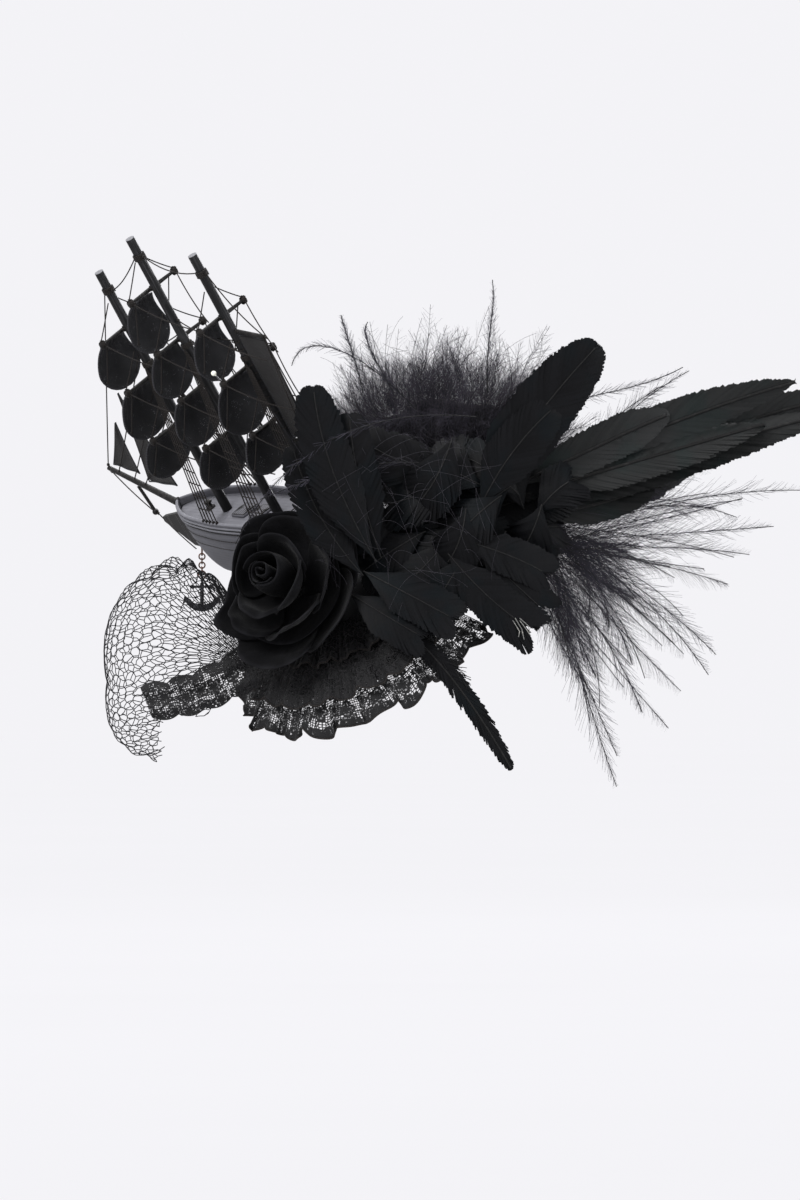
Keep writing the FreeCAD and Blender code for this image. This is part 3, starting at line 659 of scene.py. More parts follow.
def plain_cloth(name, dark, light, roughness, sheen, nap=1400.0, coat=0.0):
    """Cloth without a UV map, such as satin and felt: nap or floats in Object coordinates."""
    paint = Finish(name)
    floats = paint.noise(nap, stretch=(0.25, 1, 1))
    cloud = paint.noise(70)
    colour = paint.colour(floats * 0.6 + cloud * 0.4, dark, light)
    return paint.done(colour, roughness + floats * 0.15, floats + cloud * 2.0, 0.0002,
                      Sheen_Weight=sheen, Coat_Weight=coat)


rigging = thread_finish("rigging_thread", (0.004, 0.0035, 0.0035), (0.026, 0.022, 0.02))
veil_thread = thread_finish("veil_thread", (0.004, 0.004, 0.005), (0.02, 0.02, 0.023))
sail_cloth = woven("sail_cloth", (0.002, 0.002, 0.0025), (0.017, 0.017, 0.0195), 330.0, 0.55, 0.03, 0.22, 0.6)
sail_edge = thread_finish("sail_edge", (0.008, 0.008, 0.009), (0.045, 0.045, 0.05))
flat_sail = woven("flat_sail_cloth", (0.004, 0.004, 0.0045), (0.024, 0.022, 0.022), 420.0, 0.7, 0.03, 0.15)
satin = plain_cloth("cover_satin", (0.0015, 0.0015, 0.002), (0.008, 0.008, 0.0095), 0.45, 0.02)
lining_satin = plain_cloth("lining_satin", (0.003, 0.003, 0.0035), (0.014, 0.014, 0.016), 0.45, 0.03)
buckram = plain_cloth("buckram", (0.02, 0.02, 0.02), (0.07, 0.07, 0.07), 0.8, 0.1)
felt = plain_cloth("felt", (0.003, 0.003, 0.0035), (0.014, 0.014, 0.015), 0.95, 0.05, 900.0)
tape = plain_cloth("wrapped_tape", (0.002, 0.002, 0.002), (0.01, 0.01, 0.01), 0.6, 0.02, 2200.0)
print("cloth and thread made")


# %% Velvet, lace, feather and bead
def velvet():
    """Rose petals: pile that is black face on, crushed patches, and a painted sheen that makes the rims
    paler.
    """
    paint = Finish("rose_velvet")
    across, up = paint.uv()
    pile = paint.noise(5200, detail=2.0)
    crushed = paint.step(paint.noise(120, detail=4.0), 0.42, 0.7)
    # Painted sheen: the top of each petal is mixed towards the lighter colour, as velvet shines where it
    # rolls back.
    rim = paint.step(up, 0.93, 1.0)
    colour = paint.colour(crushed * 0.35 + pile * 0.35 + rim * 0.35, (0.0012, 0.0012, 0.0014),
                          (0.010, 0.010, 0.0115))
    return paint.done(colour, 0.92 - crushed * 0.1, pile * 0.5 + crushed * 0.8, 0.0003,
                      Sheen_Weight=0.035, Sheen_Roughness=0.4, Specular_IOR_Level=0.06)


def lace(name, net_cell=1.05):
    """Corded lace, its UV map in millimetres: a net ground, flowers, and a corded edge."""
    paint = Finish(name)
    place = paint.node("ShaderNodeUVMap", {"uv_map": "UVMap"})
    edge = paint.own("edge")
    ground = 1 - paint.step(paint.cells(1 / net_cell, place, randomness=0.35), 0.13, 0.20)
    bloom = paint.node("ShaderNodeTexVoronoi", {"feature": "F1"},
                       {"Vector": place, "Scale": 1 / 8.0, "Randomness": 0.4}, output="Position")
    east, north, _ = paint.parts(place)
    centre_east, centre_north, _ = paint.parts(bloom)
    off_east, off_north = east - centre_east, north - centre_north
    radius = paint.maths("SQRT", off_east * off_east + off_north * off_north)
    angle = paint.maths("ARCTAN2", off_north, off_east)
    petals = paint.maths("ABSOLUTE", paint.maths("COSINE", angle * 2.5))
    outline = petals * 1.9 + 2.3
    flower = 1 - paint.step(radius, outline - 0.15, outline + 0.1)
    heart = 1 - paint.step(radius, 0.7, 0.8)
    inner_leaf = paint.step(radius, outline * 0.52, outline * 0.58)
    open_leaf = inner_leaf * (1 - paint.step(radius, outline * 0.74, outline * 0.8))
    flower = flower * (1 - open_leaf * 0.55) + heart * 0.05
    vein = 1 - paint.step(paint.maths("ABSOLUTE", radius - outline), 0.18, 0.42)
    scroll = 1 - paint.step(paint.maths("ABSOLUTE", paint.noise(0.16, place, detail=0.0) - 0.5), 0.012, 0.03)
    border = paint.step(edge, 0.80, 0.83) * paint.step(paint.maths("SINE", east * 2.6) * 0.5 + 0.5, 0.25, 0.5)
    cord = paint.step(edge, 0.93, 0.95)
    mask = paint.maths("MAXIMUM", paint.maths("MAXIMUM", ground * 0.9, flower * 0.93),
                       paint.maths("MAXIMUM", paint.maths("MAXIMUM", vein, scroll),
                                   paint.maths("MAXIMUM", border, cord)))
    fuzz = paint.noise(4.0, place)
    colour = paint.colour(vein * 0.6 + fuzz * 0.4, (0.002, 0.002, 0.0025), (0.014, 0.0135, 0.0145))
    return paint.done(colour, 0.75, vein + flower * 0.5 + fuzz * 0.3, 0.0003, alpha=paint.clamp(mask))


def vane(name, dark, light, sheen_tint, gloss, gleam):
    """Feather vane: every barb has its own tone and a dark root, with patches of painted green or blue sheen.
    """
    paint = Finish(name)
    tone, out, along = paint.own("tone"), paint.own("outward"), paint.own("along")
    fine = paint.noise(2600, detail=2.0)
    tint = paint.step(paint.noise(55), 0.48, 0.66)
    colour = paint.colour(tone * 0.45 + out * 0.25 + fine * 0.3, dark, light)
    # Painted sheen: noise patches mix the green or blue sheen tint into the vane's colour as an iridescence.
    colour = paint.colour(tint * 0.5, colour, sheen_tint)
    rough = gloss + tone * 0.16
    return paint.done(colour, rough, fine + tone, 0.00015, Specular_IOR_Level=gleam)


def down(name, root, tip):
    """Down and flue: dense black at the root, and purple-grey where single hairs catch the light."""
    paint = Finish(name)
    out, along, tone = paint.own("outward"), paint.own("along"), paint.own("tone")
    pale = paint.clamp(along * 0.75 + out * 0.35 + tone * 0.2 - 0.2)
    return paint.done(paint.colour(pale, root, tip), 0.9, Sheen_Weight=0.04, Specular_IOR_Level=0.06)


def bead():
    paint = Finish("pearl_bead")
    cloud = paint.noise(900)
    up = paint.parts(paint.turned(SHIP))[2]
    ball = paint.step(up, 89.1 * MM, 89.3 * MM)
    shell = paint.colour(cloud, (0.62, 0.64, 0.5), (0.85, 0.85, 0.78))
    return paint.done(paint.colour(ball, (0.03, 0.03, 0.032), shell), 0.18 + cloud * 0.1,
                      cloud, 0.00003, Coat_Weight=0.6, Specular_IOR_Level=0.6)


rose_velvet = velvet()
black_lace = lace("black_lace")
coque_black = vane("coque_black", (0.0008, 0.0008, 0.001), (0.0036, 0.0038, 0.0046),
                   (0.001, 0.003, 0.0042), 0.44, 0.07)
coque_tail = vane("coque_tail", (0.002, 0.0025, 0.0025), (0.012, 0.0125, 0.0125),
                  (0.004, 0.009, 0.0085), 0.36, 0.15)
quill = metal("quill_horn", (0.0012, 0.0012, 0.0012), (0.005, 0.0048, 0.0048), 0.7, 0.0)
cut_fibre = metal("cut_fibre", (0.12, 0.12, 0.115), (0.34, 0.33, 0.30), 0.5, 0.0)
marabou = down("marabou_down", (0.0020, 0.0020, 0.0026), (0.050, 0.046, 0.060))
ostrich = down("ostrich_flue", (0.0025, 0.0025, 0.0030), (0.055, 0.052, 0.066))
down_hair = thread_finish("down_hair", (0.012, 0.011, 0.014), (0.045, 0.042, 0.052))
pearl = bead()
print(len(bpy.data.materials), "finishes")

# %% [markdown]
# ## Pieces that keep their CAD shape
# Turned, drilled and bent parts are already right: masts, spars, links, clips, the domed base.
# They only take a finish. A spar in the ship's axes gets wood whose streaks run along it.

# %% Finish the CAD nodes
KEPT = {
    "base_lining": lining_satin, "base_form": buckram, "base_cover": satin, "edge_wire": steel,
    "edge_binding": satin, "front_clip_jaw": steel, "back_clip_jaw": steel, "clip_plates": steel,
    "clip_pins": steel, "deck": deck_paint, "beakhead": black_wood, "bowsprit": black_wood,
    "spanker_spars": black_wood, "dolphin_striker": black_wood, "bead_pin": pearl,
    "ship_posts": post_metal, "anchor_eye": copper, "chain": copper, "anchor_ring": copper,
    "anchor": anchor_enamel, "anchor_stock": anchor_enamel, "rose_stem": tape, "feather_pad": felt,
    "quill_bundle": tape, **mast_finish}
for node, finish in KEPT.items():
    mesh = frame["nodes"][node].data
    mesh.materials.clear()
    mesh.materials.append(finish)
print(len(KEPT), "CAD nodes finished")

# %% [markdown]
# ## Hull
# The hull is a model-ship shell: a fine bow, full middle and a flat stern, lofted through a few
# stations. The loft repeats the CAD stations and smooths between them. The bulwark is a thin wall
# with a rounded cap, and two light wales run along it between dark seams.

# %% Hull skin
STATIONS = [(0, 1.0, 3), (6, 5.5, 22), (14, 9.5, 30), (40, 15, 30), (80, 16, 27),
            (115, 15, 24), (140, 12.5, 21), (152, 11, 18)]       # aft, half beam, depth
RAIL_HEIGHT = 4.5
RAIL_T = 1.2


def smooth_between(x, knots, values):
    """A smooth curve through knots, with slopes taken from their neighbours."""
    slopes = np.gradient(values, knots)
    index = int(np.clip(np.searchsorted(knots, x) - 1, 0, len(knots) - 2))
    span = knots[index + 1] - knots[index]
    t = (x - knots[index]) / span
    start = (1 + 2 * t) * (1 - t) ** 2 * values[index] + t * (1 - t) ** 2 * span * slopes[index]
    return start + t * t * (3 - 2 * t) * values[index + 1] + t * t * (t - 1) * span * slopes[index + 1]


def beam_and_depth(aft):
    knots = np.array([station[0] for station in STATIONS], dtype=float)
    beams = np.array([station[1] for station in STATIONS], dtype=float)
    depths = np.array([station[2] for station in STATIONS], dtype=float)
    return smooth_between(aft, knots, beams), smooth_between(aft, knots, depths)


def hull_skin():
    rows = []
    for aft in np.concatenate([np.linspace(0, 14, 9), np.linspace(17, 152, 40)]):
        beam, depth = beam_and_depth(aft)
        row = []
        for turn in np.linspace(0, math.pi, 29):
            row.append((aft, -beam * math.cos(turn), -depth * abs(math.sin(turn)) ** 0.92))
        rows.append(aboard(row))
    stern = [aboard([(152, 0, -8.0)])[0]] * 29
    bow = [aboard([(0, 0, -1.5)])[0]] * 29
    return seal(surface("hull_skin", [bow] + rows + [stern], hull_paint))


give(hull_skin(), ["hull"])


# %% Bulwark and wales
def side_line(height, out, first=1.0, last=151.0, steps=44):
    """A line along one side of the ship, at a height above the deck's underside."""
    line = []
    for aft in np.linspace(first, last, steps):
        beam, depth = beam_and_depth(aft)
        drop = min(max(-height, 0.0) / depth, 0.95)
        line.append((aft, beam * math.sqrt(1 - drop * drop) + out, height))
    return line


def mirrored(line):
    return [(aft, -side, up) for aft, side, up in line]


def bulwark():
    """The rail's section, carried round the deck: inner foot, inner top, cap, outer top, outer foot."""
    section = [(-RAIL_T, 1.0), (-RAIL_T, 3.6), (-RAIL_T - 0.3, 4.0), (-RAIL_T - 0.2, 4.6), (-0.6, 4.9),
               (0.2, 4.6), (0.25, 4.1), (0.0, 3.7), (0.0, 0.0), (-RAIL_T, 1.0)]
    starboard = [[(aft, side + out, up) for out, up in section] for aft, side, _ in side_line(0, 0)]
    port = [mirrored(row) for row in reversed(starboard)]
    around = starboard + port + [starboard[0]]
    return seal(surface("bulwark", [aboard(row) for row in around], rail_paint), caps=False)


give(bulwark(), ["bulwark_rail"])
wales = []
for height in (2.4, 0.6):
    side = side_line(height, 0.1)
    wales += [aboard(side), aboard(mirrored(side))]
give(threads("wales", wales, 0.55 * MM, rail_paint, 8))
seams = []
for height in (1.5, -0.6, -5.0, -10.0):
    side = side_line(height, 0.05, first=2.0 - 1.3 * height)
    seams += [aboard(side), aboard(mirrored(side))]
give(threads("hull_seams", seams, 0.28 * MM, black_wood, 6))
stem_band = [(0.4, 0, 5.0), (-0.6, 0, 1.0), (-0.7, 0, -1.6), (1.4, 0, -9.0), (4.0, 0, -18.0), (9.0, 0, -26.5)]
give(threads("stem_band", [aboard(stem_band)], 0.9 * MM, black_wood, 10))


# %% [markdown]
# ### Deck fittings
# Hatches, a deck house and a capstan sit on the deck between the masts, so that the deck isn't
# bare from above. They are small turned and panelled blocks.

# %% Hatches and capstan
def turned(name, centre, axis_matrix, profile, material, sides=20):
    """A solid turned on a lathe: radius and height pairs, up its own Z axis, in millimetres."""
    rows = []
    for radius, up in profile:
        row = []
        for step in range(sides):
            angle = 2 * math.pi * step / sides
            row.append((centre[0] + radius * math.cos(angle), centre[1] + radius * math.sin(angle),
                        centre[2] + up))
        rows.append(aboard(row, axis_matrix))
    return seal(surface(name, rows, material, closed=True))


def hatch(name, aft, length, beam, height):
    """A low coaming with a crowned, slatted lid."""
    bars = []
    for step in range(7):
        place = aft - length / 2 + length * step / 6
        bars.append(aboard([(place, -beam / 2, 1.2 + height), (place, 0, 1.6 + height),
                            (place, beam / 2, 1.2 + height)]))
    frame_line = [(aft - length / 2, -beam / 2, 1.2 + height), (aft + length / 2, -beam / 2, 1.2 + height),
                  (aft + length / 2, beam / 2, 1.2 + height), (aft - length / 2, beam / 2, 1.2 + height)]
    rows = []
    for grow_out, up in ((0.5, 0.9), (0.5, 1.2 + height), (0.0, 1.5 + height),
                         (-beam / 2 + 0.2, 1.9 + height)):
        row = []
        for east, north in ((-1, -1), (0, -1), (1, -1), (1, 0), (1, 1), (0, 1), (-1, 1), (-1, 0)):
            half_long = max(length / 2 + grow_out, 0.3)
            row.append((aft + east * half_long, north * max(beam / 2 + grow_out, 0.2), up))
        rows.append(aboard(row))
    lid = seal(surface(name, rows, deck_paint, closed=True))
    slats = threads(name + "_slats", bars + [aboard(frame_line + frame_line[:1])], 0.4 * MM, black_wood)
    return [lid, slats]


fittings = hatch("fore_hatch", 56, 9, 9, 1.0) + hatch("deck_house", 106, 14, 11, 3.0)
fittings += hatch("main_hatch", 70, 8, 9, 1.0)
for fitting in fittings:
    give(fitting)
capstan = turned("capstan", (26, 0, 1.0), SHIP,
                 [(0.05, 0), (2.2, 0), (2.3, 0.6), (1.3, 1.0), (1.1, 2.6), (1.9, 3.0), (2.0, 3.8), (1.2, 4.2),
                  (0.05, 4.3)],
                 black_wood)
give(capstan)

# %% [markdown]
# ## Yards, bands and knobs
# Each yard is a thin spar with a bulb at both ends that is wound with thread, and each mast has two
# bands of the same winding under its cut top. A winding is a helix of thread, so the thread tree
# makes it from a line of points.

# %% Yards
SAILS = {       # mast, height of its middle, half width, height, forward of the mast
    "fore_topgallant": ("foremast", 86.0, 11.5, 25.0, 16.0),
    "fore_topsail": ("foremast", 59.5, 12.5, 26.0, 17.0),
    "fore_course": ("foremast", 36.0, 13.0, 21.0, 16.0),
    "main_royal": ("mainmast", 109.0, 10.5, 27.0, 15.0),
    "main_topgallant": ("mainmast", 83.0, 11.5, 24.0, 16.0),
    "main_topsail": ("mainmast", 58.0, 12.5, 25.0, 17.0),
    "main_course": ("mainmast", 33.5, 13.0, 23.0, 16.0),
    "mizzen_topgallant": ("mizzenmast", 96.0, 10.5, 26.0, 17.0),
    "mizzen_topsail": ("mizzenmast", 68.5, 13.5, 28.0, 18.0),
    "mizzen_course": ("mizzenmast", 43.5, 12.5, 22.0, 16.0)}
MAST_R = 2.3
MAST_TOP_R = 2.1
YARD_R = 1.1
KNOB_R = 1.7


def winding(centre, along, radius, length, turns):
    """A helix about an axis through centre, in millimetres in the ship's axes."""
    along = Vector(along).normalized()
    side = along.orthogonal().normalized()
    other = along.cross(side)
    line = []
    for step in range(turns * 9 + 1):
        t = step / (turns * 9)
        angle = 2 * math.pi * turns * t
        line.append(Vector(centre) + along * (length * (t - 0.5))
                    + (side * math.cos(angle) + other * math.sin(angle)) * radius)
    return aboard(line)


def yard_place(mast, middle, height):
    """Aft and up of the yard that carries a sail."""
    aft, length = MASTS[mast]
    up = middle + height / 2 + 1.5
    radius = MAST_R + (MAST_TOP_R - MAST_R) * (up - 1) / (length - 1)
    return aft - radius - YARD_R - 0.02, up


yard_parts, knob_windings = [], []
for name, (mast, middle, half_width, height, _) in SAILS.items():
    aft, up = yard_place(mast, middle, height)
    half = half_width * 0.62 + 7
    rows = []
    for along, radius in ((-half - 1.7, 0.1), (-half - 1.3, 1.1), (-half, KNOB_R), (-half + 1.3, 1.1),
                          (-half + 2, 0.75), (0, YARD_R), (half - 2, 0.75), (half - 1.3, 1.1),
                          (half, KNOB_R), (half + 1.3, 1.1), (half + 1.7, 0.1)):
        rows.append(aboard([(aft + radius * math.sin(a), along, up + radius * math.cos(a))
                            for a in np.linspace(0, 2 * math.pi, 12, False)]))
    yard_parts.append(seal(surface(name + "_yard", rows, black_wood, closed=True)))
    for end in (-half, half):
        knob_windings.append(winding((aft, end, up), (0, 1, 0), KNOB_R, 2.2, 5))
    knob_windings.append(winding((aft + 2.4, 0, up), (0, 0.35, 1), MAST_R + 0.35, 3.0, 3))
give(join("yard_spars", yard_parts), ["yards"])
give(threads("yard_windings", knob_windings, 0.24 * MM, rigging))

band_lines = []
for mast, (aft, length) in MASTS.items():
    for low, count in ((length - 9.8, 6), (length * 0.62, 5)):
        band_lines.append(winding((aft, 0, low), (0, 0, 1), MAST_TOP_R + 0.55, count * 0.5, count))
give(threads("mast_windings", band_lines, 0.34 * MM, rigging), ["mast_bands"])

# %% [markdown]
# ## Sails
# The sails are stiffened cloth pressed over a ball, so each is a bowl: narrow and gathered at its
# yard, round at its foot, with its hollow side aft. A grid is bent onto the same ball as the CAD
# sail, gathers are added near the head, and a rolled edge runs all the way round.

# %% Square sails
SAIL_BOWL_R = 20.0
SAIL_TO_PORT = 7.0
HEAD_SHARE = 0.62


def sail_point(s, t, half_width, height, phase):
    """A point of a sail; s runs -1 to 1 across it and t 0 to 1 from foot to head."""
    top = height - half_width
    z = top * (t - 0.45) / 0.55
    if t < 0.45:
        z = -half_width * math.cos(0.16 + (math.pi / 2 - 0.16) * t / 0.45)
    if z < 0:
        half = math.sqrt(max(half_width ** 2 - z * z, 0.0))
    else:
        half = half_width + (HEAD_SHARE * half_width - half_width) * z / top
    y = s * half
    lift = z - (top - half_width) / 2
    bowl = SAIL_BOWL_R - math.sqrt(SAIL_BOWL_R ** 2 - y * y - lift * lift)
    gather = 0.35 * math.sin(s * 17 + phase) * max(t - 0.55, 0) / 0.45
    crease = 0.25 * math.sin(3.1 * s + 5.0 * t + phase)
    return (bowl + gather + crease, y, lift)


sail_rims = []
for number, (name, (mast, middle, half_width, height, forward)) in enumerate(SAILS.items()):
    seat = SHIP @ Matrix.Translation(Vector((MASTS[mast][0] - forward, -SAIL_TO_PORT, middle)) * MM)
    seat = seat @ Matrix.Rotation(math.radians(10), 4, "Y")
    phase = number * 1.7
    grid = []
    for t in np.linspace(0, 1, 15):
        grid.append([sail_point(s, t, half_width, height, phase) for s in np.linspace(-1, 1, 29)])
    rim = [row[0] for row in grid] + grid[-1][1:-1] + [row[-1] for row in reversed(grid)]
    rim += list(reversed(grid[0][1:-1]))
    sail_rims.append(aboard(rim + rim[:1], seat))
    cloth = surface(name + "_cloth", [aboard(row, seat) for row in grid], sail_cloth)
    thicken(cloth, 0.5 * MM)
    give(cloth, [name])
give(threads("sail_edges", sail_rims, 0.5 * MM, sail_edge, 8))


# %% Fore-and-aft sails
def flat_sail_grid(corners, belly, rows=9, columns=11):
    """A sheet between four corners: head front, head back, foot back, foot front."""
    a, b, c, d = [Vector((aft, 0, up)) for aft, up in corners]
    grid = []
    for t in np.linspace(0, 1, rows):
        row = []
        for s in np.linspace(0, 1, columns):
            point = d.lerp(c, s).lerp(a.lerp(b, s), t)
            full = belly * math.sin(math.pi * s) * math.sin(math.pi * min(t + 0.1, 1))
            point.y = full + 0.3 * math.sin(9 * s + 4 * t)
            row.append(point)
        grid.append(aboard(row))
    return grid


spanker_aft = MASTS["mizzenmast"][0] + MAST_R + 0.3
FLAT_SAILS = {
    "spanker_cloth": ([(spanker_aft + 0.5, 101.5), (spanker_aft + 21, 99.5), (spanker_aft + 18, 49),
                       (spanker_aft + 0.5, 46)], "spanker_sail", (21.5, 54.0), 0.92),
    "outer_jib_cloth": ([(-19, 45), (-18.9, 45), (-22, 17), (-41, 21)], "jibs", (28.0, 28.0), 0.45),
    "inner_jib_cloth": ([(-2, 62), (-1.9, 62), (6, 12), (-17, 13)], "jibs", (30.0, 50.0), 0.5)}
edges = []
for name, (corners, node, (wide, tall), share) in FLAT_SAILS.items():
    grid = flat_sail_grid(corners, 1.2)
    cloth = thicken(surface(name, grid, flat_sail), 0.45 * MM)
    give(cloth, [node])
    wide * MM
    tall * MM
    share * wide * tall * MM * MM
    rim = [row[0] for row in grid] + grid[-1][1:-1]
    rim += [row[-1] for row in reversed(grid)] + list(reversed(grid[0]))
    edges.append(rim)
give(threads("flat_sail_edges", edges, 0.35 * MM, sail_edge))
lacing = []
for step in range(12):
    up = 52 + 4.2 * step
    lacing.append(winding((MASTS["mizzenmast"][0], 0, up), (0.2, 0, 1), MAST_R + 0.45, 0.6, 1))
give(threads("spanker_lacing", lacing, 0.25 * MM, rigging))

# %% [markdown]
# ## Rigging
# Rigging thread is light and stiff with wax, so long runs sag only a little. Stays run along the
# ship's middle plane, shrouds come down in fans to both rails with ratlines across them, and lifts
# and braces go from the yards' knobs to the masts. Small knots sit where threads are tied.


# %% Stays, shrouds and lifts
def high(mast, drop, side):
    """A point just off a mast; side is +1 aft and -1 forward."""
    aft, length = MASTS[mast]
    return (aft + side * (MAST_R + 1.1), 0, length - drop)


BOWSPRIT_TIP = (-47.2, 18.8)
tip = (BOWSPRIT_TIP[0] + 1, 0, BOWSPRIT_TIP[1] + 1.8)
runs = [(tip, high("foremast", 9.8, -1), 0.03), (high("foremast", 9.8, 1), high("mainmast", 9.8, -1), 0.06),
        (high("mainmast", 9.8, 1), high("mizzenmast", 9.8, -1), 0.07),
        (high("mizzenmast", 9.8, 1), (spanker_aft + 24, 0, 100), 0.05),
        ((-40, 0, 17), high("foremast", 44, -1), 0.02), ((-30, 0, 13), high("foremast", 60, -1), 0.02),
        ((-22, 0, 11), high("foremast", 74, -1), 0.02),
        (high("foremast", 40, 1), high("mainmast", 52, -1), 0.05),
        (high("mainmast", 44, 1), high("mizzenmast", 46, -1), 0.05),
        ((tip[0], 0, tip[2] - 3.6), (-28.1, 0, -3.3), 0.02), ((-24.5, 0, -4.8), (-7.5, 0, -23.5), 0.02),
        ((spanker_aft + 22, 0, 100.6), (spanker_aft + 17, 0, 47.5), 0.02),
        ((spanker_aft + 21, 0, 100), (150, 6, 5), 0.02), ((spanker_aft + 21, 0, 100), (150, -6, 5), 0.02)]
knots = []
for name, (mast, middle, half_width, height, forward) in SAILS.items():
    aft, up = yard_place(mast, middle, height)
    half = half_width * 0.62 + 7
    for side in (-1, 1):
        end = (aft, side * half, up + KNOB_R)
        runs.append((end, (aft + 1.6, side * (MAST_R + 0.2), min(up + 15, MASTS[mast][1] - 9)), 0.02))
        runs.append(((aft + 1.2, side * half, up), (aft + 26, side * 3.4, up - 20), 0.04))
        clew = (MASTS[mast][0] - forward + 5.0, -SAIL_TO_PORT + side * half_width * 0.9,
                middle - height * 0.20)
        runs.append((clew, (aft - 1.5, side * (half - 3), up - YARD_R), 0.02))
for mast, (aft, length) in MASTS.items():
    for side in (-1, 1):
        feet, heads = [], []
        for step in range(5):
            foot_aft = aft + 3 + 3.1 * step
            beam, _ = beam_and_depth(foot_aft)
            feet.append(Vector((foot_aft, side * (beam - 0.5), RAIL_HEIGHT + 0.4)))
            heads.append(Vector((aft + 0.8 + 0.6 * step, side * (MAST_R + 0.6), length * 0.62 - 1.2 * step)))
            runs.append((feet[-1], heads[-1], 0.005))
            knots.append(winding(feet[-1], (0, 0, 1), 0.55, 1.4, 3))
        for rung in range(1, 9):
            share = rung * 0.085
            runs.append((feet[0].lerp(heads[0], share), feet[-1].lerp(heads[-1], share), 0.01))
lines = []
for start, end, sag in runs:
    lines.append(sagging(*aboard([start, end]), sag))
    if (Vector(end) - Vector(start)).length > 12:
        knots.append(winding(start, Vector(end) - Vector(start), 0.5, 1.2, 2))
give(threads("rigging_lines", lines, 0.30 * MM, rigging, 5), ["stays", "shrouds"])
give(threads("rigging_knots", knots, 0.26 * MM, rigging, 5))
print(len(lines), "lines")

# %% [markdown]
# ## Clip springs
# Each clip is shut by a small torsion spring wound round its pin. Its axis is the jaw's own hinge
# axis, which the frame knows, so the wire's helix is laid about that line.

# %% Clip springs
coils = []
for joint in frame["record"]["behaviour"]["joints"]:
    if "clip" in joint["name"]:
        pivot = Vector(joint["pos_m"])
        along = Vector(joint["axis"]).normalized()
        side = along.orthogonal().normalized()
        other = along.cross(side)
        line = []
        for step in range(7 * 12 + 1):
            turn = 2 * math.pi * step / 12
            spot = pivot + along * (step / 84 - 0.5) * 3.5 * MM
            line.append(spot + (side * math.cos(turn) + other * math.sin(turn)) * 1.5 * MM)
        coils.append(line)
give(threads("spring_coils", coils, 0.23 * MM, steel), ["clip_springs"])

# %% [markdown]
# ## Stitches round the base
# The satin binding is sewn on by hand. Small slanted stitches follow it all the way round, just
# inside its edge, on the outside of the dome.


# %% Binding stitches
def on_dome(radius, polar, round_angle):
    """A place on a sphere about the head's centre; angles in degrees."""
    polar, round_angle = math.radians(polar), math.radians(round_angle)
    return (radius * math.sin(polar) * math.cos(round_angle),
            radius * math.sin(polar) * math.sin(round_angle), radius * math.cos(polar))


COVER_R = HEAD_R + 4.0
stitches = []
for number in range(120):
    turn = 3.0 * number
    stitch = [on_dome(COVER_R + 0.5, 32.6, turn), on_dome(COVER_R + 1.0, 32.2, turn + 0.5),
              on_dome(COVER_R + 0.15, 31.6, turn + 1.2)]
    stitches.append(aboard(stitch, DOME))
give(threads("binding_stitches", stitches, 0.22 * MM, rigging, 5))

# %% [markdown]
# ## The velvet rose
# A millinery rose is cut from velvet: rings of petals, each cupped over a hot ball and rolled back
# at its rim, round a bud of wound strip. Every petal is one bent grid. The petals of a ring overlap
# like a pinwheel, because each is tilted a little about its own middle line.

# %% Rose petals
ROSE = axes(Vector((-22.0, -19.0, 1.5)) * MM, (1, 0, 0), (-0.5, -0.8, 0.3))
PETAL_RINGS = {     # petals, first degree, inner radius and height, outer radius and height, cup, spread
    "rose_outer_petals": (5, 0, 6.5, 2.5, 37.0, 17.0, 6.5, 1.42),
    "rose_middle_petals": (5, 36, 6.0, 7.5, 27.0, 28.5, 6.0, 1.40),
    "rose_inner_petals": (4, 10, 5.0, 13.0, 16.5, 35.0, 4.0, 1.45)}
rose_chance = np.random.default_rng(7)


def petal_point(u, v, sizes, middle, sector, mood):
    """A point of one petal: u runs -1 to 1 across it, v runs 0 to 1 from its foot to its rim."""
    inner_r, inner_z, outer_r, outer_z, cup, spread = sizes
    reach = v * (1 - 0.16 * u * u - 0.10 * u ** 4)
    arch = 4 * reach * (1 - reach)
    length = math.hypot(outer_r - inner_r, outer_z - inner_z)
    across_r, across_z = (outer_z - inner_z) / length, -(outer_r - inner_r) / length
    radius = inner_r + (outer_r - inner_r) * reach + across_r * cup * arch
    up = inner_z + (outer_z - inner_z) * reach + across_z * cup * arch
    roll = max(v - 0.78, 0) / 0.22
    radius += mood["roll"] * roll ** 2 * (1 - 0.5 * u * u)
    up -= mood["roll"] * 0.75 * roll ** 2
    up += mood["tilt"] * u * (0.35 + 0.65 * v)
    up += mood["ruffle"] * v ** 3 * math.sin(mood["waves"] * u + mood["phase"])
    radius += mood["dent"] * math.exp(-((u - mood["dent_at"]) / 0.22) ** 2) * v * v
    wide = math.sin(math.pi * (0.20 + 0.52 * v)) * sector / 2 * spread
    angle = middle + u * wide
    return (radius * math.cos(angle), radius * math.sin(angle), up)


def clear_of_anchor(spot):
    """The petals beside the anchor are pressed back, so that it hangs free."""
    share = min(max((spot.z + 0.014) / 0.012, 0.0), 1.0) * 0.5
    spot.x += share * max(-0.048 - spot.x, 0.0)
    return spot


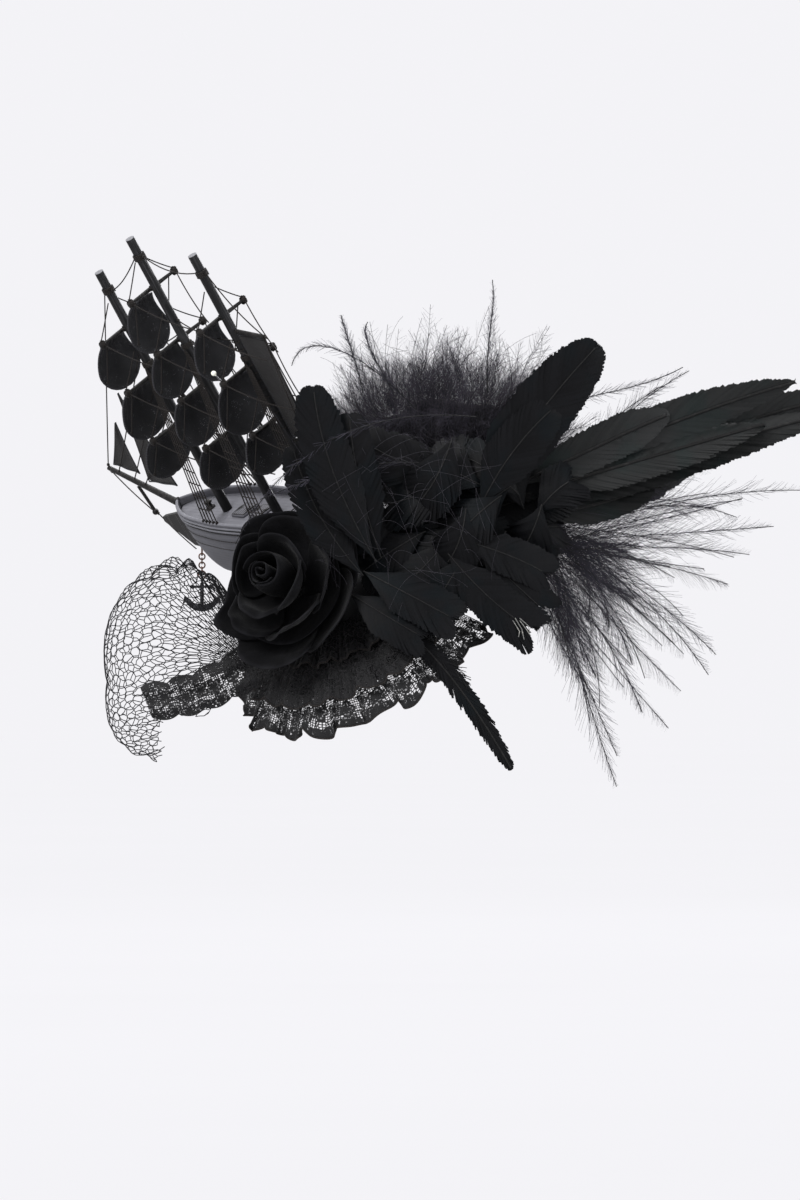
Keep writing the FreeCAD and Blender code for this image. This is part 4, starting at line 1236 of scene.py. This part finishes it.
# A shallow velvet cup goes behind the petals, so that no light shows between them.
for node, (count, first, *sizes) in PETAL_RINGS.items():
    petals = []
    sector = 2 * math.pi / count
    for number in range(count):
        draw = rose_chance.uniform(-1, 1, 6)
        mood = {"roll": 2.2 + 1.6 * draw[0], "tilt": 2.6, "ruffle": 1.3 + 0.6 * draw[1],
                "waves": 3.4 + draw[2], "phase": 3 * draw[3], "dent": 2.6 * draw[4], "dent_at": 0.6 * draw[5]}
        middle = math.radians(first) + sector * (number + 0.5)
        rows = []
        for v in np.linspace(0, 1, 17):
            row = [petal_point(u, v, sizes, middle, sector, mood) for u in np.linspace(-1, 1, 21)]
            rows.append([clear_of_anchor(spot) for spot in aboard(row, ROSE)])
        petals.append(surface(node + "_cloth", rows, rose_velvet))
    ring_of_petals = join(node + "_cloth", petals)
    give(thicken(ring_of_petals, 0.7 * MM), [node])
rows = []
for share in np.linspace(0.02, 1, 10):
    radius, row = 27.0 * share, []
    for around in np.linspace(0, 2 * math.pi, 48, False):
        up = 1.5 + 9.0 * share ** 1.5 + 0.8 * math.sin(5 * around) * share
        row.append((radius * math.cos(around), radius * math.sin(around), up))
    rows.append(aboard(row, ROSE))
backing = surface("rose_backing", rows, rose_velvet, closed=True)
give(thicken(backing, 0.8 * MM))


# %% Rose heart
def wound_strip(turns, start_r, end_r, low, high, phase):
    """A strip wound into a bud, leaning outwards as it opens."""
    rows = []
    for v in np.linspace(0, 1, 13):
        row = []
        for t in np.linspace(0, 1, 60):
            angle = phase + 2 * math.pi * turns * t
            radius = (start_r + (end_r - start_r) * t) * (0.55 + 0.6 * math.sin(math.pi * (0.15 + 0.62 * v)))
            up = low + (high - low) * v * (1 - 0.10 * t) + 0.7 * math.sin(3.1 * angle) * v * v
            radius += 1.1 * max(v - 0.82, 0) / 0.18 * t
            row.append((radius * math.cos(angle), radius * math.sin(angle), up))
        rows.append(aboard(row, ROSE))
    return surface("rose_heart", rows, rose_velvet)


heart = join("rose_heart", [wound_strip(1.9, 0.5, 5.4, 16.5, 37.5, 0.0),
                            wound_strip(0.8, 5.2, 8.4, 15.0, 36.5, 1.9),
                            wound_strip(0.75, 6.6, 10.6, 14.0, 35.5, 4.4)])
give(thicken(heart, 0.6 * MM), ["rose_bud"])

# %% [markdown]
# ## The net veil
# Millinery net has six-sided meshes that are never quite even. It puffs forward from under the
# rose like a bubble, and its cut edge leaves short whiskers. The mesh is laid out as a honeycomb,
# wrapped onto the veil's ball, jittered, and spun into thread by the thread tree. Past the ball
# the same mesh is drawn together into a short seam on the base's binding.

# %% Net veil
VEIL_CENTRE = (-62.0, 30.0, -25.0)
VEIL_R = 49.6
VEIL_ANGLE = 77.0
VEIL_FOOT = Vector((-42.5, 29.9, -24.1))          # middle of its seam on the binding
VEIL_SEAM = Vector((-0.204, -0.774, -0.598))      # the way the seam runs
GATHER = 40.0                 # net between the ball and the seam
VEIL_CELL = 3.2               # side of one mesh
veil_axes = axes(Vector(VEIL_CENTRE) * MM, (0, 0, 1), (-0.93, 0.30, -0.20))
veil_chance = np.random.default_rng(21)


def honeycomb(side, reach, fits):
    """Corners and edges of a honeycomb whose cells all fit, wider than they are high."""
    corners, edges = {}, set()

    def corner(x, y):
        return corners.setdefault((round(0.84 * x, 2), round(1.2 * y, 2)), len(corners))

    pitch = side * math.sqrt(3)
    count = int(reach / side) + 2
    for row in range(-count, count + 1):
        for column in range(-count, count + 1):
            x = pitch * (column + 0.5 * (row % 2))
            y = 1.5 * side * row
            if not fits(Vector((0.84 * x, 1.2 * y, 0))):
                continue
            cell = []
            for turn in range(6):
                angle = math.pi / 6 + turn * math.pi / 3
                cell.append(corner(x + side * math.cos(angle), y + side * math.sin(angle)))
            edges.update(tuple(sorted(pair)) for pair in zip(cell, cell[1:] + cell[:1]))
    return [Vector((x, y, 0)) for x, y in corners], sorted(edges)


def ball_edge(around):
    """How far the ball of net reaches, in millimetres along it: furthest under the bow."""
    return VEIL_R * math.radians(VEIL_ANGLE + 14 * max(math.cos(around), 0.0) ** 2) - 2


def veil_point(flat):
    """Wraps a flat place onto the ball; past its edge the net is gathered into the seam."""
    around = math.atan2(flat.y, flat.x)
    edge = ball_edge(around)
    polar = min(flat.length, edge) / VEIL_R
    radius = VEIL_R - 1.3 * (1 + math.sin(5 * around + 1.0)) * polar ** 2
    radius -= 0.7 * (1 + math.sin(13 * around + 0.4 * flat.x)) * polar ** 3
    place = veil_axes @ (Vector((radius * math.sin(polar) * math.cos(around),
                                 radius * math.sin(polar) * math.sin(around), radius * math.cos(polar))) * MM)
    place.x -= 0.5 * max(-0.038 - place.z, 0.0)
    share = min(max(flat.length - edge, 0.0) / GATHER, 1.0)
    foot = (VEIL_FOOT - VEIL_SEAM * 14 * math.sin(around)) * MM
    return place.lerp(foot, share) + Vector((0, 0, 0.003 * math.sin(math.pi * share)))


def in_veil(flat):
    """The lower corner is cut away behind the lace, and isn't gathered in."""
    edge = ball_edge(math.atan2(flat.y, flat.x))
    if flat.length > edge:
        return flat.length < edge + GATHER - 1 and veil_point(flat.normalized() * edge).z > -0.044
    place = veil_point(flat) / MM
    return not (place.z < -52 and place.x > -88)


net_corners, net_edges = honeycomb(VEIL_CELL, VEIL_R * 2.5, in_veil)
shaken = []
for place in net_corners:
    nudge = veil_chance.uniform(-0.85, 0.85, 2)
    shaken.append(place + Vector((nudge[0], nudge[1], 0)))
net_lines = []
for a, b in net_edges:
    middle = (shaken[a] + shaken[b]) * 0.5 + Vector((*veil_chance.uniform(-0.45, 0.45, 2), 0))
    net_lines.append([veil_point(shaken[a]), veil_point(middle), veil_point(shaken[b])])
net_length = sum((line[0] - line[-1]).length for line in net_lines)
ties = np.bincount(np.array(net_edges).ravel(), minlength=len(shaken))
for place, count in zip(shaken, ties):
    if count < 3 and veil_chance.random() < 0.45:
        net_lines.append([veil_point(place), veil_point(place * (1 + veil_chance.uniform(0.03, 0.06)))])
NET_THREAD = 0.20
veil = threads("veil_mesh", net_lines, NET_THREAD * MM, veil_thread, 5)
give(veil, ["veil_net"])

# %% [markdown]
# ## Lace
# The lace is a galloon: a net ground with flowers between two corded, scalloped edges. The cloth is
# one thin sheet whose outline is really scalloped; its net and flowers are holes in the finish,
# drawn in millimetres on the cloth's own map, so they follow every ruffle.


# %% Lace sheets
def lace_sheet(name, point, length, width, columns, rows, scallop, scallops, both=False):
    """A strip of lace. point(u, v) gives its place in millimetres; v runs 0 to 1 to its free edge."""
    mesh_rows, edge_values = [], []
    for row in range(rows):
        v = row / (rows - 1)
        line = []
        for column in range(columns):
            u = column / (columns - 1)
            bite = scallop * abs(math.sin(math.pi * scallops * u)) ** 0.8
            reach = (1 - scallop) + bite
            across = (v - 0.5) * reach + 0.5 if both else v * reach
            line.append(point(u, across))
            edge_values.append(max(abs(v - 0.5) * 2, 0.0) if both else v)
        mesh_rows.append(line)
    cloth = surface(name, mesh_rows, black_lace, uv_size=(length, width))
    edge = cloth.data.attributes.new("edge", "FLOAT", "POINT")
    edge.data.foreach_set("value", edge_values)
    return cloth


FRILL_START, FRILL_SWEEP = 172.0, 196.0
FRILL_W = 19.0


def frill_point(u, v):
    """The frill leaves the binding and falls over the head in uneven ruffles."""
    turn = FRILL_START + FRILL_SWEEP * u
    wave = math.sin(0.21 * turn) + 0.6 * math.sin(0.47 * turn + 1.3) + 0.4 * math.sin(1.1 * turn)
    radius = HEAD_R + 2.6 + (2.2 * wave + 1.2) * v ** 1.3
    polar = 34.0 + (12.2 + 1.1 * math.sin(0.33 * turn + 2.0)) * v
    turn += 2.4 * math.cos(0.42 * turn) * v
    return DOME @ (Vector(on_dome(radius, polar, turn)) * MM)


def flap_point(u, v):
    """The loose end of the same lace, which points forward from under the rose."""
    foot, end = Vector((-44.0, -14.5, -30.0)), Vector((-91.5, -16.5, -49.0))
    along = foot.lerp(end, u)
    across = Vector((0.36, 0, -0.93)) * (v - 0.5) * (21.0 - 3.0 * u)
    fold = Vector((0, 1.6 * math.sin(9 * u + 5 * v) + 1.1 * math.sin(14 * v + 2 * u), 0))
    sag = Vector((0, 0, -3.0 * math.sin(math.pi * u) + 2.0 * u * u))
    return (along + across + fold + sag) * MM


def second_layer(u, v):
    """A second fall of lace behind the first, from beside the rose to the tail."""
    turn = 196.0 + 150.0 * u
    wave = math.sin(0.31 * turn + 0.7) + 0.5 * math.sin(0.83 * turn)
    polar = 25.5 + 13.0 * v
    return DOME @ (Vector(on_dome(COVER_R + 2.4 + (1.8 * wave + 1.5) * v, polar, turn)) * MM)


def third_layer(u, v):
    """The uppermost lace, gathered on the dome between the rose and the feathers."""
    turn = 205.0 + 140.0 * u
    wave = math.sin(0.37 * turn + 2.0) + 0.5 * math.sin(0.95 * turn)
    polar = 14.0 + 13.5 * v
    return DOME @ (Vector(on_dome(COVER_R + 2.6 + (1.6 * wave + 1.8) * v, polar, turn)) * MM)


frill = lace_sheet("lace_frill_cloth", frill_point, 230.0, FRILL_W, 420, 22, 0.17, 15)
give(thicken(frill, 0.25 * MM, 0), ["lace_frill"])
flap = lace_sheet("lace_flap_cloth", flap_point, 52.0, 20.0, 120, 26, 0.2, 4, both=True)
give(thicken(flap, 0.25 * MM, 0), ["lace_flap"])
layer = lace_sheet("lace_upper_cloth", second_layer, 150.0, 21.0, 380, 20, 0.15, 11)
give(thicken(layer, 0.25 * MM, 0))
crest = lace_sheet("lace_crest_cloth", third_layer, 110.0, 21.0, 300, 20, 0.15, 8)
give(thicken(crest, 0.25 * MM, 0))
cord_lines = []
for point, count, top in ((frill_point, 420, 15), (second_layer, 380, 11), (third_layer, 300, 8)):
    scallop = 0.17 if point is frill_point else 0.15
    line = []
    for u in np.linspace(0, 1, count):
        reach = (1 - scallop) + scallop * abs(math.sin(math.pi * top * u)) ** 0.8
        line.append(point(u, reach))
    cord_lines.append(line)
give(threads("lace_edge_cord", cord_lines, 0.42 * MM, rigging, 6))

# %% [markdown]
# ## Feathers
# A feather is a shaft with hundreds of barbs, so the feather tree grows it straight and `lay` bends
# it along a curve. Coque feathers have broad, glossy vanes whose barbs lie shut; here and there a
# barb lifts and leaves a split. Ostrich and marabou barbs stand apart and droop like hair.


# %% Laying a feather along a curve
def bezier(points, t):
    """A place on a Bezier curve and the way it runs there."""
    points = [Vector(point) for point in points]
    while len(points) > 2:
        points = [a.lerp(b, t) for a, b in zip(points, points[1:])]
    return points[0].lerp(points[1], t), (points[1] - points[0]).normalized()


def curve_length(points):
    places = [bezier(points, t)[0] for t in np.linspace(0, 1, 25)]
    return sum((b - a).length for a, b in zip(places, places[1:]))


def lay(thing, points, facing, length, twist=0.0, cup=0.0):
    """Bend a straight feather along a curve; facing is where its upper face looks."""
    mesh = thing.data
    flat = np.empty(len(mesh.vertices) * 3)
    mesh.vertices.foreach_get("co", flat)
    flat = flat.reshape(-1, 3)
    steps = 60
    spots, ways, sides, ups = [], [], [], []
    for index in range(steps + 1):
        spot, way = bezier(points, index / steps)
        side = Vector(facing).cross(way).normalized()
        up = way.cross(side)
        turn = twist * index / steps
        spots.append(spot)
        ways.append(way)
        sides.append(side * math.cos(turn) + up * math.sin(turn))
        ups.append(up * math.cos(turn) - side * math.sin(turn))
    spots, ways, sides, ups = (np.array(values) for values in (spots, ways, sides, ups))
    share = np.clip(flat[:, 0] / length, 0, 1)
    index = np.clip((share * steps).astype(int), 0, steps - 1)
    part = (share * steps - index)[:, None]

    def mix(values):
        return values[index] * (1 - part) + values[index + 1] * part

    past = (flat[:, 0] - share * length)[:, None]
    rise = (flat[:, 2] - cup * flat[:, 1] ** 2)[:, None]
    placed = mix(spots) + mix(ways) * past + mix(sides) * flat[:, 1:2] + mix(ups) * rise
    mesh.vertices.foreach_set("co", placed.ravel())
    mesh.update()
    return thing


def feather(points, facing, half_width, seed, material, **sizes):
    """One feather from a curve in millimetres. Other sizes are the feather tree's inputs."""
    points = [Vector(point) * MM for point in points]
    length = curve_length(points)
    twist, cup = sizes.pop("twist", 0.0), sizes.pop("cup", 0.0)
    values = {"Length": length, "Half Width": half_width * MM, "Seed": seed, "Vane": material, "Quill": quill,
              "Shaft": 0.33 * MM, "Barbs": int(length / MM * 1.8), "Barb Width": 1.5 * MM}
    for name, value in sizes.items():
        values[name.replace("_", " ")] = value
    return lay(grow("feather", FEATHER, values), points, facing, length, twist, cup)


print("feather helpers ready")

# %% Mound feathers
# The mound hides the quills: short round feathers laid like tiles, each facing a little differently.
mound_chance = np.random.default_rng(5)
mound = []
MOUND_ROWS = [      # quill X and Z, tip X and Z, half width, toward the viewer
    (60, 40, 14, 68, 12, 27), (66, 36, 28, 50, 13, 31), (52, 66, 16, 24, 12, 33), (72, 50, 38, 26, 12, 36),
    (64, 44, 36, 8, 12, 39), (46, 72, 32, 44, 12, 42), (78, 40, 70, 64, 12, 26), (40, 54, 6, 70, 11, 30),
    (70, 30, 60, 6, 12, 34), (84, 38, 98, 52, 11, 30), (56, 54, 44, 66, 11, 28), (78, 34, 86, 12, 11, 28),
    (52, 36, 98, 48, 12, 18), (56, 28, 94, 32, 12, 20), (54, 44, 90, 62, 12, 16), (48, 34, 86, 20, 11, 21),
    (30, 56, 0, 56, 11, 24), (58, 30, 30, 14, 12, 36), (76, 46, 54, 62, 12, 33), (86, 42, 76, 20, 11, 33),
    (48, 50, 18, 42, 12, 40), (60, 50, 38, 62, 12, 38), (68, 46, 48, 28, 12, 42), (52, 40, 44, 16, 11, 42),
    (26, 40, -2, 30, 11, 30), (34, 30, 6, 12, 11, 36), (44, 26, 18, 0, 11, 40), (52, 20, 34, -8, 11, 42)]
for number, (quill_x, quill_z, tip_x, tip_z, half, depth) in enumerate(MOUND_ROWS):
    lean = mound_chance.uniform(-1, 1, 4)
    start = Vector((quill_x, -depth - 2 * lean[0], quill_z))
    end = Vector((tip_x, -depth + 4 * lean[1] - 0.25 * (tip_z - 30) * 0.2, tip_z))
    middle = start.lerp(end, 0.55) + Vector((3 * lean[2], -7.0, 3 * lean[3]))
    mound.append(feather([start, middle, end], (0.1 * lean[0], -1, 0.3), half, 100 + number, coque_black,
                         Tip_Power=3.8, Sweep=0.6, Droop=0.22, Splay=0.05, Curl=0.2, Barb_Width=1.5 * MM))
give(join("mound_vanes", mound), ["mound_feathers"])

# %% Blade feathers
blades = [feather([(12, -50, 16), (-12, -60, 56), (-16, -58, 92)], (0.2, -1, 0.1), 10.5, 31, coque_black,
                  Tip_Power=3.6, Sweep=0.7, Splay=0.035, Curl=0.2),
          feather([(14, -46, 18), (2, -56, 52), (0, -52, 80)], (-0.2, -1, 0.1), 9.0, 32, coque_black,
                  Tip_Power=3.6, Sweep=0.7, Splay=0.04, Curl=0.2),
          feather([(6, -48, 10), (-16, -54, 34), (-25, -52, 66)], (0, -1, 0.2), 8.0, 33, coque_black,
                  Tip_Power=3.6, Sweep=0.7, Splay=0.05, Curl=0.2),
          feather([(58, -38, 42), (78, -42, 78), (110, -37, 112)], (0.1, -1, 0), 14.5, 34, coque_black,
                  Tip_Power=3.4, Sweep=0.6, Splay=0.02, Curl=0.15, Barb_Width=1.6 * MM),
          feather([(58, -40, 40), (70, -44, 66), (90, -40, 84)], (0.1, -1, 0), 11.0, 35, coque_black,
                  Tip_Power=3.4, Sweep=0.6, Splay=0.03, Curl=0.2)]
give(join("blade_vanes", blades), ["blade_feathers"])

# %% Tail feathers
TAIL = [([(72, -12, 44), (130, -6, 56), (172, -2, 84), (230, 2, 92)], 8.5, 0.5),
        ([(76, -16, 42), (130, -14, 54), (170, -8, 74), (222, -2, 84)], 8.0, -0.4),
        ([(74, -20, 50), (116, -20, 66), (152, -14, 84), (200, -8, 97)], 8.0, 0.6),
        ([(76, -22, 46), (118, -22, 58), (150, -16, 68), (186, -12, 78)], 8.0, -0.5),
        ([(80, -10, 38), (112, -6, 42), (134, -2, 54), (152, 0, 60)], 7.5, 0.3),
        ([(72, -24, 50), (100, -26, 62), (122, -22, 74), (142, -18, 82)], 7.5, 0.4),
        ([(78, -18, 38), (104, -16, 38), (118, -12, 44), (134, -8, 50)], 7.0, -0.3)]
tail = []
for number, (points, half, twist) in enumerate(TAIL):
    tail.append(feather(points, (0, -1, 0.25), half, 200 + number, coque_tail, Tip_Power=4.0, Sweep=0.85,
                        Splay=0.03, Curl=0.2, Droop=0.12, Shaft=0.8 * MM, Barb_Width=1.7 * MM,
                        twist=twist, Bare=0.02))
give(join("tail_vanes", tail), ["tail_feathers"])

# %% Lower coque feathers
lower = [feather([(44, -44, 20), (60, -50, 0), (78, -46, -12)], (0.1, -1, 0.1), 9.5, 301, coque_black,
                 Tip_Power=14.0, Sweep=0.6, Splay=0.035, Curl=0.2, Barb_Width=1.7 * MM),
         feather([(58, -42, 22), (72, -46, 8), (84, -42, -3)], (0.1, -1, 0.1), 8.5, 302, coque_black,
                 Tip_Power=12.0, Sweep=0.6, Splay=0.04, Curl=0.2),
         feather([(50, -44, 26), (72, -48, 20), (86, -42, 12)], (0, -1, 0.2), 8.5, 303, coque_black,
                 Tip_Power=9.0, Sweep=0.6, Splay=0.04, Curl=0.2),
         feather([(6, -44, 12), (26, -54, 2), (44, -52, -8)], (0.1, -1, 0.3), 10.0, 306, coque_black,
                 Tip_Power=7.0, Sweep=0.6, Splay=0.03, Curl=0.2),
         feather([(0, -42, 2), (16, -54, -8), (30, -54, -16)], (0.1, -1, 0.3), 9.5, 307, coque_black,
                 Tip_Power=7.0, Sweep=0.6, Splay=0.03, Curl=0.2),
         feather([(22, -44, -12), (46, -50, -30), (72, -55, -76)], (0.2, -1, 0.1), 3.8, 304, coque_black,
                 Tip_Power=9.0, Sweep=0.9, Splay=0.08, Curl=0.15, Barb_Width=1.0 * MM, Shaft=0.5 * MM),
         feather([(26, -44, -16), (44, -47, -26), (54, -50, -42)], (0, -1, 0.1), 2.8, 305, coque_black,
                 Tip_Power=4.0, Sweep=0.9, Splay=0.5, Curl=0.3, Barb_Width=0.4 * MM, Shaft=0.4 * MM)]
give(join("lower_vanes", lower), ["coque_feathers"])
cut_fibres = [[Vector(point) * MM for point in line] for line in
              [[(74, -47, -9), (77, -47.6, -14), (78, -47.8, -18.5)],
               [(76, -47, -10), (79, -47.6, -14), (81, -48, -17)],
               [(76, -47, -9), (80, -47.4, -12.5), (80.5, -47.6, -15.5)],
               [(73, -47, -10), (76, -47.6, -15), (75.5, -47.8, -17.5)]]]
give(threads("coque_cut_tip", cut_fibres, 0.22 * MM, cut_fibre, 6))

# %% Ostrich spray
# Long fronds whose flues stand apart. Each ends near one of the frame's rods and droops.
spray_chance = np.random.default_rng(11)
SPRAY_ENDS = [(145, -8, -59), (164, 2, -27), (122, -16, -84), (111, -26, -45), (150, -4, -44), (160, 0, -33),
              (193, 8, 32), (202, 4, 47), (154, 22, 103), (118, -20, -70), (132, -12, -52), (172, 2, 4),
              (182, 6, 20), (146, 4, 16), (128, -6, -30), (104, -24, -36), (166, 10, 62), (140, 14, 88),
              (176, 8, 46), (136, -10, -6), (116, -18, -14), (150, 0, -10)]
fronds = []
for number, end in enumerate(SPRAY_ENDS):
    for strand in range(2 + number % 2):
        draw = spray_chance.uniform(-1, 1, 8)
        scatter = 0.4 if strand == 0 else 1.4
        tip_place = Vector(end) + Vector((6 * draw[0], 5 * draw[1], 6 * draw[2])) * scatter
        if strand:
            tip_place = Vector((84, -10, 22)).lerp(tip_place, 0.62 + 0.3 * abs(draw[3]))
        root = Vector((82 + 8 * draw[4], -14 + 6 * draw[5], 28 + 9 * draw[6]))
        bow = (tip_place - root).cross(Vector((0, 1, 0))).normalized() * (9 * draw[7] + 6)
        points = [root, root.lerp(tip_place, 0.4) + bow, root.lerp(tip_place, 0.75) + bow * 0.7, tip_place]
        fronds.append(feather(points, (0, -1, 0.2), 6.0, 400 + 3 * number + strand, ostrich, Tip_Power=3.0,
                              Sweep=0.95, Splay=0.4, Curl=0.25, Droop=0.45, Shaft=0.20 * MM, Segments=4,
                              Sides=3, Barb_Width=0.13 * MM, Barbs=105, Bare=0.05, twist=2.5 * draw[3]))
give(join("ostrich_fronds", fronds), ["ostrich_spray"])

# %% [markdown]
# ## Marabou
# Marabou is down: short curled plumes whose barbs float free, so it reads as a soft cloud that is
# solid in its middle and wispy at its rim. A few plumes are grown with the feather tree, and a
# second tree scatters them over a dark core with a fixed seed, most of them swept upwards.


# %% Down tree
def down_tree():
    """Scatters a plume over a mesh, pointing outwards and upwards with some disorder."""
    graph = geometry_graph("down", {"Plume": ("Object", None), "Density": ("Float", 60000.0),
                                    "Seed": ("Int", 1), "Disorder": ("Float", 0.6), "Upward": ("Float", 0.6),
                                    "Smallest": ("Float", 0.6), "Largest": ("Float", 1.1)})
    given = graph.given
    spots = graph.node("GeometryNodeDistributePointsOnFaces",
                       values={"Mesh": given["Geometry"], "Density": given["Density"], "Seed": given["Seed"]})
    normal = Wire(graph, spots.socket.node.outputs["Normal"])
    chance = graph.node("FunctionNodeRandomValue", {"data_type": "FLOAT_VECTOR"},
                        {0: (-1, -1, -1), 1: (1, 1, 1), 8: given["Seed"]})
    shaken = graph.node("ShaderNodeVectorMath", {"operation": "SCALE"},
                        {"Vector": chance, "Scale": given["Disorder"]})
    lifted = graph.node("ShaderNodeVectorMath", {"operation": "ADD"},
                        {0: shaken, 1: graph.vector(0.0, 0.0, given["Upward"])})
    way = graph.node("ShaderNodeVectorMath", {"operation": "ADD"}, {0: normal, 1: lifted})
    aimed = graph.node("FunctionNodeAlignRotationToVector", {"axis": "X"}, {"Vector": way})
    roll = graph.node("FunctionNodeRandomValue", {"data_type": "FLOAT"},
                      {2: 0.0, 3: 6.283, 8: given["Seed"]}, 1)
    rolled = graph.node("FunctionNodeRotateRotation", {"rotation_space": "LOCAL"},
                        {"Rotation": aimed, "Rotate By": graph.node("FunctionNodeEulerToRotation",
                                                                    values={"Euler": graph.vector(roll)})})
    size = graph.node("FunctionNodeRandomValue", {"data_type": "FLOAT"},
                      {2: given["Smallest"], 3: given["Largest"], 8: given["Seed"] + 9}, 1)
    plume = graph.node("GeometryNodeObjectInfo", values={"Object": given["Plume"]}, output="Geometry")
    placed = graph.node("GeometryNodeInstanceOnPoints",
                        values={"Points": spots, "Instance": plume, "Rotation": rolled, "Scale": size})
    real = graph.node("GeometryNodeRealizeInstances", values={"Geometry": placed})
    return close_graph(graph, graph.node("GeometryNodeSetMaterial",
                                         values={"Geometry": real, "Material": marabou}))


DOWN = down_tree()
print("down tree ready")

# %% Marabou
fluff_low, fluff_high = (Vector(corner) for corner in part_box("marabou_fluff"))
fluff_middle = (fluff_low + fluff_high) / 2 + Vector((-0.001, 0, 0.001))
fluff_half = (fluff_high - fluff_low) / 2


def fluff_core(share):
    """A lumpy closed ball a little inside the CAD fluff."""
    rows = []
    for polar in np.linspace(0.02, math.pi - 0.02, 24):
        row = []
        for around in np.linspace(0, 2 * math.pi, 40, False):
            lump = share * (1 + 0.10 * math.sin(5 * around + 3 * polar) * math.sin(4 * polar + 1))
            spot = Vector((math.cos(polar), math.sin(polar) * math.cos(around),
                           math.sin(polar) * math.sin(around)))
            row.append(fluff_middle + Vector(a * b for a, b in zip(spot * lump, fluff_half)))
        rows.append(row)
    return seal(surface("marabou_core", rows, marabou, closed=True))


core = fluff_core(0.84)
plumes = []
for number, (length, bend, half) in enumerate(((32, 10, 5.5), (28, -9, 5.0), (40, 14, 4.5), (46, -12, 4.5))):
    plumes.append(feather([(0, 0, 0), (length * 0.5, 0, 0), (length, 0, bend)], (0, 0, 1), half, 600 + number,
                          marabou, Sweep=0.7, Splay=0.6, Curl=0.3, Droop=0.4, Shaft=0.10 * MM, Segments=3,
                          Sides=3, Barb_Width=0.11 * MM, Barbs=20, Bare=0.0, Tip_Power=3.0))
    plumes[-1].data.materials.clear()
    plumes[-1].data.materials.append(marabou)
tufts = []
for number, (plume, density, smallest, largest, upward) in enumerate(
        ((plumes[0], 60000.0, 0.5, 0.85, 0.7), (plumes[1], 60000.0, 0.5, 0.9, 0.5),
         (plumes[2], 26000.0, 0.5, 0.9, 0.9), (plumes[3], 5000.0, 0.7, 1.0, 1.5),
         (plumes[0], 30000.0, 0.5, 1.0, 0.9))):
    values = {"Plume": plume, "Density": density, "Seed": 70 + number, "Disorder": 0.65,
              "Smallest": smallest, "Largest": largest, "Upward": upward}
    tufts.append(grow("marabou_tuft", DOWN, values, core.data.copy()))
down_a = join("marabou_down", [core] + tufts[:1])
give(down_a, ["marabou_fluff"])
give(join("marabou_plumes", tufts[1:2]))
give(join("marabou_wisps", tufts[2:4]))
give(join("marabou_crest", tufts[4:]))
for plume in plumes:
    bpy.data.objects.remove(plume)

# %% Long hairs
# Hairs as thin as silk stand out of the down and bend over where they end.
hair_chance = np.random.default_rng(17)
hairs = []
for number in range(170):
    draw = hair_chance.uniform(-1, 1, 8)
    root = fluff_middle + Vector((0.9 * draw[0] * fluff_half.x, 0.6 * draw[1] * fluff_half.y,
                                  0.45 * fluff_half.z))
    reach = (0.026 + 0.014 * draw[2]) * (1.25 if number % 9 == 0 else 1.0)
    way = Vector((0.45 * draw[3], 0.3 * draw[4], 1.0)).normalized()
    bow = Vector((draw[5], 0.5 * draw[6], 0.2 * draw[7])) * reach * 0.45
    corners = [root, root + way * reach * 0.5 - bow * 0.3, root + way * reach * 0.9, root + way * reach + bow]
    hairs.append([bezier(corners, t)[0] for t in np.linspace(0, 1, 12)])
give(threads("marabou_hairs", hairs, 0.075 * MM, down_hair, 4))
stray = []
for number in range(80):
    draw = hair_chance.uniform(-1, 1, 8)
    root = Vector((30 + 38 * draw[0], -48 + 3 * draw[1], 38 + 36 * draw[2])) * MM
    way = Vector((-0.8 + draw[3], -0.25 + 0.25 * draw[4], 0.5 + draw[5])).normalized()
    reach = 0.019 + 0.008 * draw[6]
    bow = Vector((0.5 * draw[1], -0.2, 1.1 * draw[7])) * reach
    corners = [root, root + way * reach * 0.5, root + way * reach + bow]
    stray.append([bezier(corners, t)[0] for t in np.linspace(0, 1, 9)])
give(threads("mound_hairs", stray, 0.055 * MM, down_hair, 4))

# %% Loose strands
# Single strands have worked out of the crest: one falls across the rose, some curl over the ship.
STRANDS = [[(57, -40, 81), (8, -58, 86), (-30, -62, 68), (-51, -60, 24)],
           [(30, -30, 84), (6, -34, 112), (-22, -36, 122), (-26, -36, 104)],
           [(6, -20, 92), (2, -22, 110), (-2, -22, 118), (-4, -24, 127)],
           [(40, -38, 60), (0, -56, 64), (-24, -60, 50), (-40, -60, 44)],
           [(62, -16, 92), (60, -14, 112), (66, -12, 128), (64, -10, 143)],
           [(70, -10, 90), (84, -8, 104), (96, -6, 110), (112, -4, 112)],
           [(20, -16, 92), (12, -14, 106), (4, -16, 118), (8, -12, 124)],
           [(84, -8, 84), (104, 0, 92), (128, 6, 92), (150, 10, 104)]]
strands = []
for number, points in enumerate(STRANDS):
    strands.append(feather(points, (0, -1, 0.2), 2.8, 700 + number, ostrich, Sweep=1.05, Splay=0.5, Curl=0.4,
                           Droop=0.3, Shaft=0.18 * MM, Segments=3, Sides=4, Barb_Width=0.14 * MM, Barbs=90,
                           Tip_Power=2.0))
give(join("loose_strands", strands))
